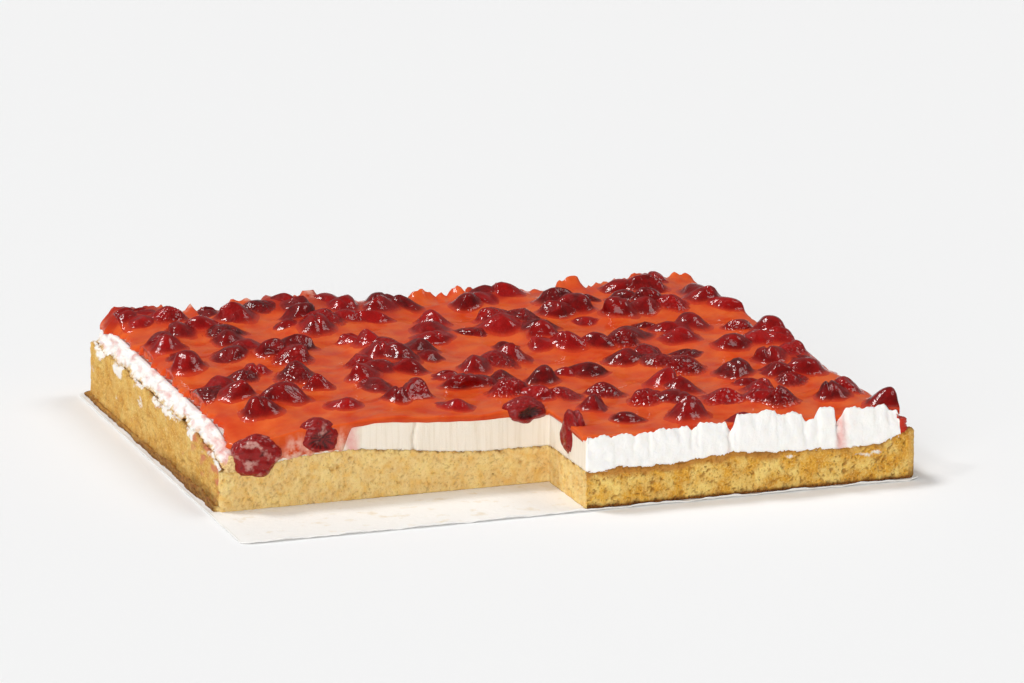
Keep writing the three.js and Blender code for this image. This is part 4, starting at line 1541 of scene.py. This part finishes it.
    def surface(self, u: Array, v: Array) -> Array:
        """Height of the open glaze before the berries lift it, which runs down over the torn edges."""
        past_front = np.where(u > PLAN.cut_length, self.front + 2.0 - v, -1.0)
        past = [self.left + 2.0 - u, u - (self.far_u - 2.0), v - (self.far_v - 2.0), past_front]
        over = np.clip(np.maximum.reduce(past), 0.0, None)
        return PLAN.cream_top(u, v) + PLAN.glaze + PLAN.gap + self.swell(u, v) - 0.9 * over - 0.16 * over**2

    def _height(self, u: Array, v: Array, gu: Array, gv: Array, edge: Array) -> Array:
        """Height of the upper face.

        It is the cream's plus a thickness that rounds down at the torn edges, less a fine bevel along the
        knife's edge, plus swells, a curl of the back edge and the berries' skirts.

        Args:
            u: drawn-in places.
            v: drawn-in places.
            gu: the even grid's u.
            gv: the even grid's v.
            edge: distance to the nearest torn edge.

        Returns:
            The height in millimetres.
        """
        round_in = 1.0 - np.clip(edge / 2.4, 0.0, 1.0)
        thick = (PLAN.glaze + PLAN.gap) * np.sqrt(np.clip(1.0 - round_in**2, 0.0, 1.0))
        past_v = gv - self.cut_v
        to_corner = np.hypot(gu - self.cut_u, np.clip(past_v, 0, None))
        to_long = np.where(gu <= self.cut_u + 1e-6, past_v, to_corner)
        to_cut = np.where(past_v <= 1e-6, gu - self.cut_u, np.abs(to_long))
        swell = smooth(0.0, 9.0, np.minimum(edge, 30.0)) * self.swell(u, v)
        torn = ripples(u, 0.0, ((1.0, 30.0, 64), (0.5, 7.0, 66)))
        curl = 4.0 + 5.4 * np.clip(torn, -0.7, 1.1) - sum(5.0 * bump(u - at, 1.4) for at, _ in self.splits)
        curl = curl * fade(self.far_v - gv, 7.0) + 3.0 * bump(np.hypot(u - self.left, v - PLAN.depth), 16.0)
        skirts = self.skirts(u, v) * smooth(-1.0, 4.0, edge)
        return PLAN.cream_top(u, v) + thick - 0.6 * fade(to_cut, 0.5) + swell + curl + skirts

    def _colour(self, u: Array, v: Array) -> tuple[Array, Array]:
        """How deep the jelly looks at each point, and where cream shows bare through it."""
        near = self.skirts(u, v, 0.1, 1.1)
        deep = 0.75 * smooth(0.3, 0.8, near) + 0.15 * (0.5 + 0.5 * ripple(u, v, 25.0, 63))
        torn = smooth(PLAN.depth - 22, PLAN.depth - 6, v) * smooth(210, 150, u)
        spot = 0.8 * bump(u - 238, 12) * bump(v - 250, 6)
        bare = 0.7 * torn * np.clip(0.3 + ripple(u, v, 17.0, 65), 0, 1) + spot
        return np.clip(deep, 0, 1), np.clip(bare, 0, 1)


@dataclass
class GlazedBerries:
    """The raspberries under their jelly: leaning peaks that flare out into the glaze, no two alike.

    Reach and rise are the profile from the flared foot to the blunt tip. A facet's row gives how near the
    middle and how far out it may start.
    """

    berries: list[Berry]
    glaze: Glaze
    around: int = 40
    seed: int = 77
    reach: Numbers = (1.6, 1.34, 1.15, 1.0, 0.9, 0.82, 0.74, 0.66, 0.57, 0.46, 0.34, 0.22, 0.1)
    rise: Numbers = (0.0, 0.045, 0.12, 0.23, 0.35, 0.47, 0.59, 0.7, 0.8, 0.88, 0.945, 0.98, 1.0)
    facets: Rows = ((-0.05, 0.3), (0.15, 0.6))
    lumps: Rows = ((2, 1, 0.05), (3, 2, 0.05), (5, 3, 0.025))
    sunk: float = 3.0
    finish: BerryFinish = field(default_factory=BerryFinish)

    def build(self, nodes: list[str]) -> list[Piece]:
        """Builds every glazed berry as one piece.

        Args:
            nodes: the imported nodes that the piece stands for.

        Returns:
            The berries' piece.
        """
        rng, count = np.random.default_rng(self.seed), len(self.berries)
        rings = self._shape(rng)
        rows = rings.shape[1]
        low, tip = rings[:, :1].mean(axis=2), rings[:, -1:].mean(axis=2) + [0.0, 0.0, 0.06]
        points = np.concatenate([rings.reshape(count, -1, 3), low, tip], axis=1)
        per = points.shape[1]
        first = (np.arange(count) * per)[:, None, None]
        faces = [(f[None] + first).reshape(-1, f.shape[1]) for f in stack_faces(rows, self.around)]
        foot = np.repeat(1.0 - smooth(0.04, 0.3, np.append(0.0, self.rise)), self.around)
        marks = {
            "tone": np.repeat(rng.uniform(0.0, 0.6, count), per),
            "lumpy": np.repeat(np.where(rng.uniform(0, 1, count) < 0.25, 1.0, 0.08), per),
            "foot": np.tile(np.append(foot, [1.0, 0.0]), count),
        }
        material = self.finish.material()
        piece = make_piece("glazed_berries", points.reshape(-1, 3), tuple(faces), material, marks)
        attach(piece, "root")
        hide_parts(*nodes)
        return [piece]

    def _shape(self, rng: np.random.Generator) -> Array:
        """Works out the rings of every berry.

        A point at angle a lies at the profile's reach times the radius, drawn out to an oval and leaning with
        its rise. A fin pulls one side out towards the nearest neighbour, two slanting planes cut facets with
        sharp crests, and a cleft presses a line across the top of some. The height is the open glaze's plus
        the root of the rise squared plus the skirt squared, so the foot meets the lifted glaze.

        Args:
            rng: the seeded draws.

        Returns:
            Berries by rings by points by (u, v, z), with a ring below each foot.
        """
        count = len(self.berries)

        def each(low: float, high: float) -> Array:
            """One draw from low to high for each berry."""
            return rng.uniform(low, high, count)[:, None, None]

        place = np.array([(b.u, b.v, b.radius, b.height) for b in self.berries])
        u, v, radius, height = place.T[:, :, None, None]
        reach, rise = np.array(self.reach)[None, :, None], np.array(self.rise)[None, :, None]
        a = (np.arange(self.around) / self.around * TURN)[None, None, :]
        oval, turn = each(0.86, 1.2), each(0.0, NEARLY_TURN)
        fin = self._towards_nearest(place)[:, None, None] + each(-0.5, 0.5)
        fin_size = each(-0.1, 0.6).clip(0.0)
        from_fin = np.angle(np.exp(1j * (a - fin)))
        pull = 1.0 + fin_size * bump(from_fin, 0.36) * (4.0 * rise * (1.0 - rise) + 0.35 * (1 - rise))
        lump = 1.0 + sum(size * np.sin(times * a + shift * turn) for times, shift, size in self.lumps)
        span = radius * np.where(reach > 1.0, reach, reach ** each(0.7, 1.75)) * lump * pull
        along, across = span * np.cos(a - turn) * oval, span * np.sin(a - turn) / oval
        lean, amount = each(0.0, NEARLY_TURN), each(0.1, 0.5)
        tilt = amount * radius * rise**1.4
        pu = along * np.cos(turn) - across * np.sin(turn) + tilt * np.cos(lean) + u
        pv = along * np.sin(turn) + across * np.cos(turn) + tilt * np.sin(lean) + v
        pu = np.clip(pu, self.glaze.left + 3.0, self.glaze.far_u - 1.5)
        pv = np.minimum(pv, self.glaze.far_v - 3.0)
        in_front = (v < PLAN.cut_depth) | (u > PLAN.cut_length)
        pv = np.where(in_front, np.maximum(pv, self.glaze.front + 1.0), pv)
        faced = np.broadcast_to(rise, pu.shape)
        for nearest, farthest in self.facets:
            way, off, slope = each(0.0, NEARLY_TURN), each(nearest, farthest), each(0.55, 1.15)
            out = ((pu - u) * np.cos(way) + (pv - v) * np.sin(way)) / radius
            faced = np.minimum(faced, np.maximum(1.0 - slope * (out - off), 0.3 * rise))
        knife_u, knife_v = PLAN.cut_length + 0.7, PLAN.cut_depth + 0.7
        pv = np.where((v > knife_v) & (pu < knife_u), np.maximum(pv, knife_v), pv)
        pu = np.where((v < knife_v) & (pv < knife_v), np.maximum(pu, knife_u), pu)
        cleft = np.where(each(0, 1) < 0.3, each(0.5, 1.0), 0.0)
        line = (pu - u) * np.sin(fin + 0.8) - (pv - v) * np.cos(fin + 0.8) - each(-0.25, 0.25) * radius
        dent = cleft * bump(line, 1.0) * rise * 2.2
        flat = pu.reshape(-1), pv.reshape(-1)
        ground, skirt = (lay(*flat).reshape(pu.shape) for lay in (self.glaze.surface, self.glaze.skirts))
        height = height * (1.0 - 0.3 * smooth(PLAN.depth - 34, PLAN.depth - 18, v))
        z = ground + np.hypot(faced * height, skirt) - dent - 0.25 * (1 - rise) ** 8
        rings = np.stack([pu, pv, z], axis=-1)
        return np.concatenate([rings[:, :1] - [0.0, 0.0, self.sunk], rings], axis=1)

    @staticmethod
    def _towards_nearest(place: Array) -> Array:
        """Angle from each berry to its nearest neighbour."""
        step = place[None, :, :2] - place[:, None, :2]
        gap = np.hypot(step[..., 0], step[..., 1]) + np.eye(len(place)) * 1e6
        way = step[np.arange(len(place)), gap.argmin(axis=1)]
        return np.arctan2(way[:, 1], way[:, 0])


@dataclass
class BaredBerries:
    """The raspberries that the knife laid bare, with their drupelets, one of them with an open core."""

    around: int = 80
    up: int = 54
    drupelets: int = 96
    finish: FleshFinish = field(default_factory=FleshFinish)

    def build(self, nodes: list[str]) -> list[Piece]:
        """Builds each bared berry.

        Args:
            nodes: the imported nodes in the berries' order.

        Returns:
            One piece for each berry.
        """
        material = self.finish.material()
        return [self._berry(i, node, BARED[i], material) for i, node in enumerate(nodes)]

    def _directions(self) -> Array:
        """Unit directions over a globe, ring by ring upwards, and then its lower and upper pole."""
        lat = np.linspace(-math.pi / 2, math.pi / 2, self.up)[1:-1]
        la, lo = np.meshgrid(lat, np.arange(self.around) / self.around * TURN, indexing="ij")
        globe = np.stack([np.cos(la) * np.cos(lo), np.cos(la) * np.sin(lo), np.sin(la)], -1).reshape(-1, 3)
        return np.concatenate([globe, [[0, 0, -1.0], [0, 0, 1.0]]])

    def _caps(self, d: Array, i: int) -> Array:
        """Drupelets: the root of 1 - (angle / reach)², by the nearest point of a spiral over the globe."""
        k = np.arange(self.drupelets) + 0.5
        polar, spin = np.arccos(1 - 2 * k / self.drupelets), math.pi * (1 + 5**0.5) * k + i
        seeds = np.stack([np.sin(polar) * np.cos(spin), np.cos(polar), np.sin(polar) * np.sin(spin)], -1)
        angle = np.arccos(np.clip(d @ seeds.T, -1, 1)).min(axis=1)
        reach = 1.25 * math.sqrt(4.0 / self.drupelets)
        return np.sqrt(np.clip(1 - (angle / reach) ** 2, 0, 1))

    def _berry(self, i: int, node: str, berry: BaredBerry, material: Material) -> Piece:
        """Builds one bared berry.

        Its points lie on an ellipsoid at 1 + 0.1 (cap - 0.6) and a ripple, and none lies further out than the
        knife's plane. Its core is pressed in where it lies open, and cut flesh shows streaks round the core.

        Args:
            i: its number from 0, which also seeds it.
            node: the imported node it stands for.
            berry: its sizes.
            material: its material.

        Returns:
            The piece.
        """
        d = self._directions()
        cap = self._caps(d, i)
        short = berry.face is Side.SHORT_CUT
        across, plane = (0, PLAN.cut_length) if short else (1, PLAN.cut_depth)
        core_way = np.array([-1.0, 0.0, -0.1] if short else [0.0, -1.0, -0.1]) / math.hypot(1.0, 0.1)
        core = np.arccos(np.clip(d @ core_way, -1, 1))
        open_core = berry.hollow * smooth(0.62, 0.3, core)
        rough = 0.09 * ripple(d[:, 0] * 9 + i, d[:, 2] * 9, 9.0, 70 + i)
        swell = 1.0 + 0.1 * (cap - 0.6) + rough
        size = np.array(berry.half) * np.array(berry.grown)
        points = d * swell[:, None] * size + np.array(berry.middle) + np.array(berry.shift)
        knife = plane - berry.proud + 0.7 * ripple(points[:, 1 - across], points[:, 2], 7.0, 85 + i)
        sliced = smooth(-0.4, 1.2, knife - points[:, across])
        face = knife + 1.5 * open_core - 0.5 * sliced * (cap - 0.5)
        points[:, across] = np.maximum(points[:, across], face)
        spoke = np.arctan2(d[:, 2], d[:, 0])
        streaks = 0.5 + 0.5 * np.sin(15 * spoke + 2.0 * np.sin(3 * spoke))
        inside = sliced * smooth(1.25, 0.9, core) * berry.halved
        # Painted shade: dark between the drupelets and in the open core; the streaks round the core are the
        # cut flesh's own colour.
        valley_shade_and_streaks = (1 - inside) * (1.0 - 1.3 * cap) + inside * 0.8 * streaks + 0.7 * open_core
        marks = {
            "valley_shade_and_streaks": np.clip(valley_shade_and_streaks, 0, 1),
            "pulp": berry.pulp * (0.6 + 0.4 * ripple(d[:, 0] * 9, d[:, 2] * 9, 8.0, 80 + i)),
        }
        faces = stack_faces(self.up - 2, self.around)
        piece = make_piece(f"bare_berry_{i + 1}", points, faces, material, marks)
        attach(piece, "root")
        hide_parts(node)
        return piece


# Light and camera


@dataclass(frozen=True)
class Lamp:
    """A far lamp, seen from the cake in one direction and under an angle in degrees."""

    name: str
    towards: Numbers
    angle: float
    strength: float

    def build(self) -> None:
        """Adds the lamp."""
        data = bpy.data.lights.new(self.name, "SUN")
        data.angle = math.radians(self.angle)
        data.energy = self.strength
        lamp = bpy.data.objects.new(self.name, data)
        lamp.rotation_euler = Vector(self.towards).to_track_quat("Z", "Y").to_euler()
        bpy.context.collection.objects.link(lamp)


@dataclass
class Studio:
    """A pale floor, two small lamps for the glints, two soft ones, a faint surround, and the camera."""

    lens: float = 193.4
    camera_at: Numbers = (-1.0323, -2.9814, 0.8476)
    yaw: float = 19.368
    pitch: float = 14.053
    sensor: float = 36.0
    floor_colour: str = "#f4f4f4"
    floor_size: float = 24.0
    surround: float = 0.21
    lamps: tuple[Lamp, ...] = (
        Lamp("key_left", (-0.36, 0.36, 0.86), 15.0, 1.58),
        Lamp("window_left", (-0.72, 0.02, 0.69), 8.0, 0.32),
        Lamp("soft_front_left", (-0.52, -0.82, 0.22), 40.0, 1.85),
        Lamp("soft_right", (0.62, -0.02, 0.78), 24.0, 0.7),
    )

    def build(self) -> None:
        """Sets the floor, the world's light, the lamps and the camera."""
        self._floor()
        self._world()
        for lamp in self.lamps:
            lamp.build()
        self._camera()

    def _floor(self) -> None:
        """A matt floor that runs out of sight."""
        bpy.ops.mesh.primitive_plane_add(size=self.floor_size, location=(0.0, 4.0, 0.0))
        floor = bpy.context.object
        floor.name = "floor"
        look = {"Base Color": self.floor_colour, "Roughness": 0.7, "Specular IOR Level": 0.1}
        floor.data.materials.append(MaterialTree("matt_floor").surface(look))

    def _world(self) -> None:
        """An even white surround."""
        world = bpy.data.worlds.new("white_surround")
        world.use_nodes = True
        inputs = world.node_tree.nodes["Background"].inputs
        inputs["Color"].default_value = (1.0, 1.0, 1.0, 1.0)
        inputs["Strength"].default_value = self.surround
        bpy.context.scene.world = world

    def _camera(self) -> None:
        """Places the camera as the photograph's, by a yaw to the right and a pitch down."""
        data = bpy.data.cameras.new("camera")
        data.sensor_width = self.sensor
        data.lens = self.lens
        data.clip_end = 50.0
        camera = bpy.data.objects.new("camera", data)
        camera.location = self.camera_at
        camera.rotation_euler = (math.radians(90.0 - self.pitch), 0.0, math.radians(-self.yaw))
        bpy.context.collection.objects.link(camera)
        bpy.context.scene.camera = camera
        bpy.context.scene.view_settings.view_transform = "Standard"


def main() -> None:
    """Builds the cake's pieces in order and reports each."""
    logging.basicConfig(level=logging.INFO, format="%(message)s")
    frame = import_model()
    nodes = sorted(frame["nodes"])
    berries = BerryLayout().lay()
    glaze = Glaze(berries)
    pieces = BakingPaper().build() + Sponge().build() + Cream().build() + glaze.build()
    pieces += GlazedBerries(berries, glaze).build([n for n in nodes if n.startswith("berries_")])
    pieces += BaredBerries().build([n for n in nodes if n.startswith("bared_")])
    for piece in pieces:
        LOG.info("%s: %d faces", piece.name, len(piece.data.polygons))
    Studio().build()


if __name__ == "__main__":
    main()
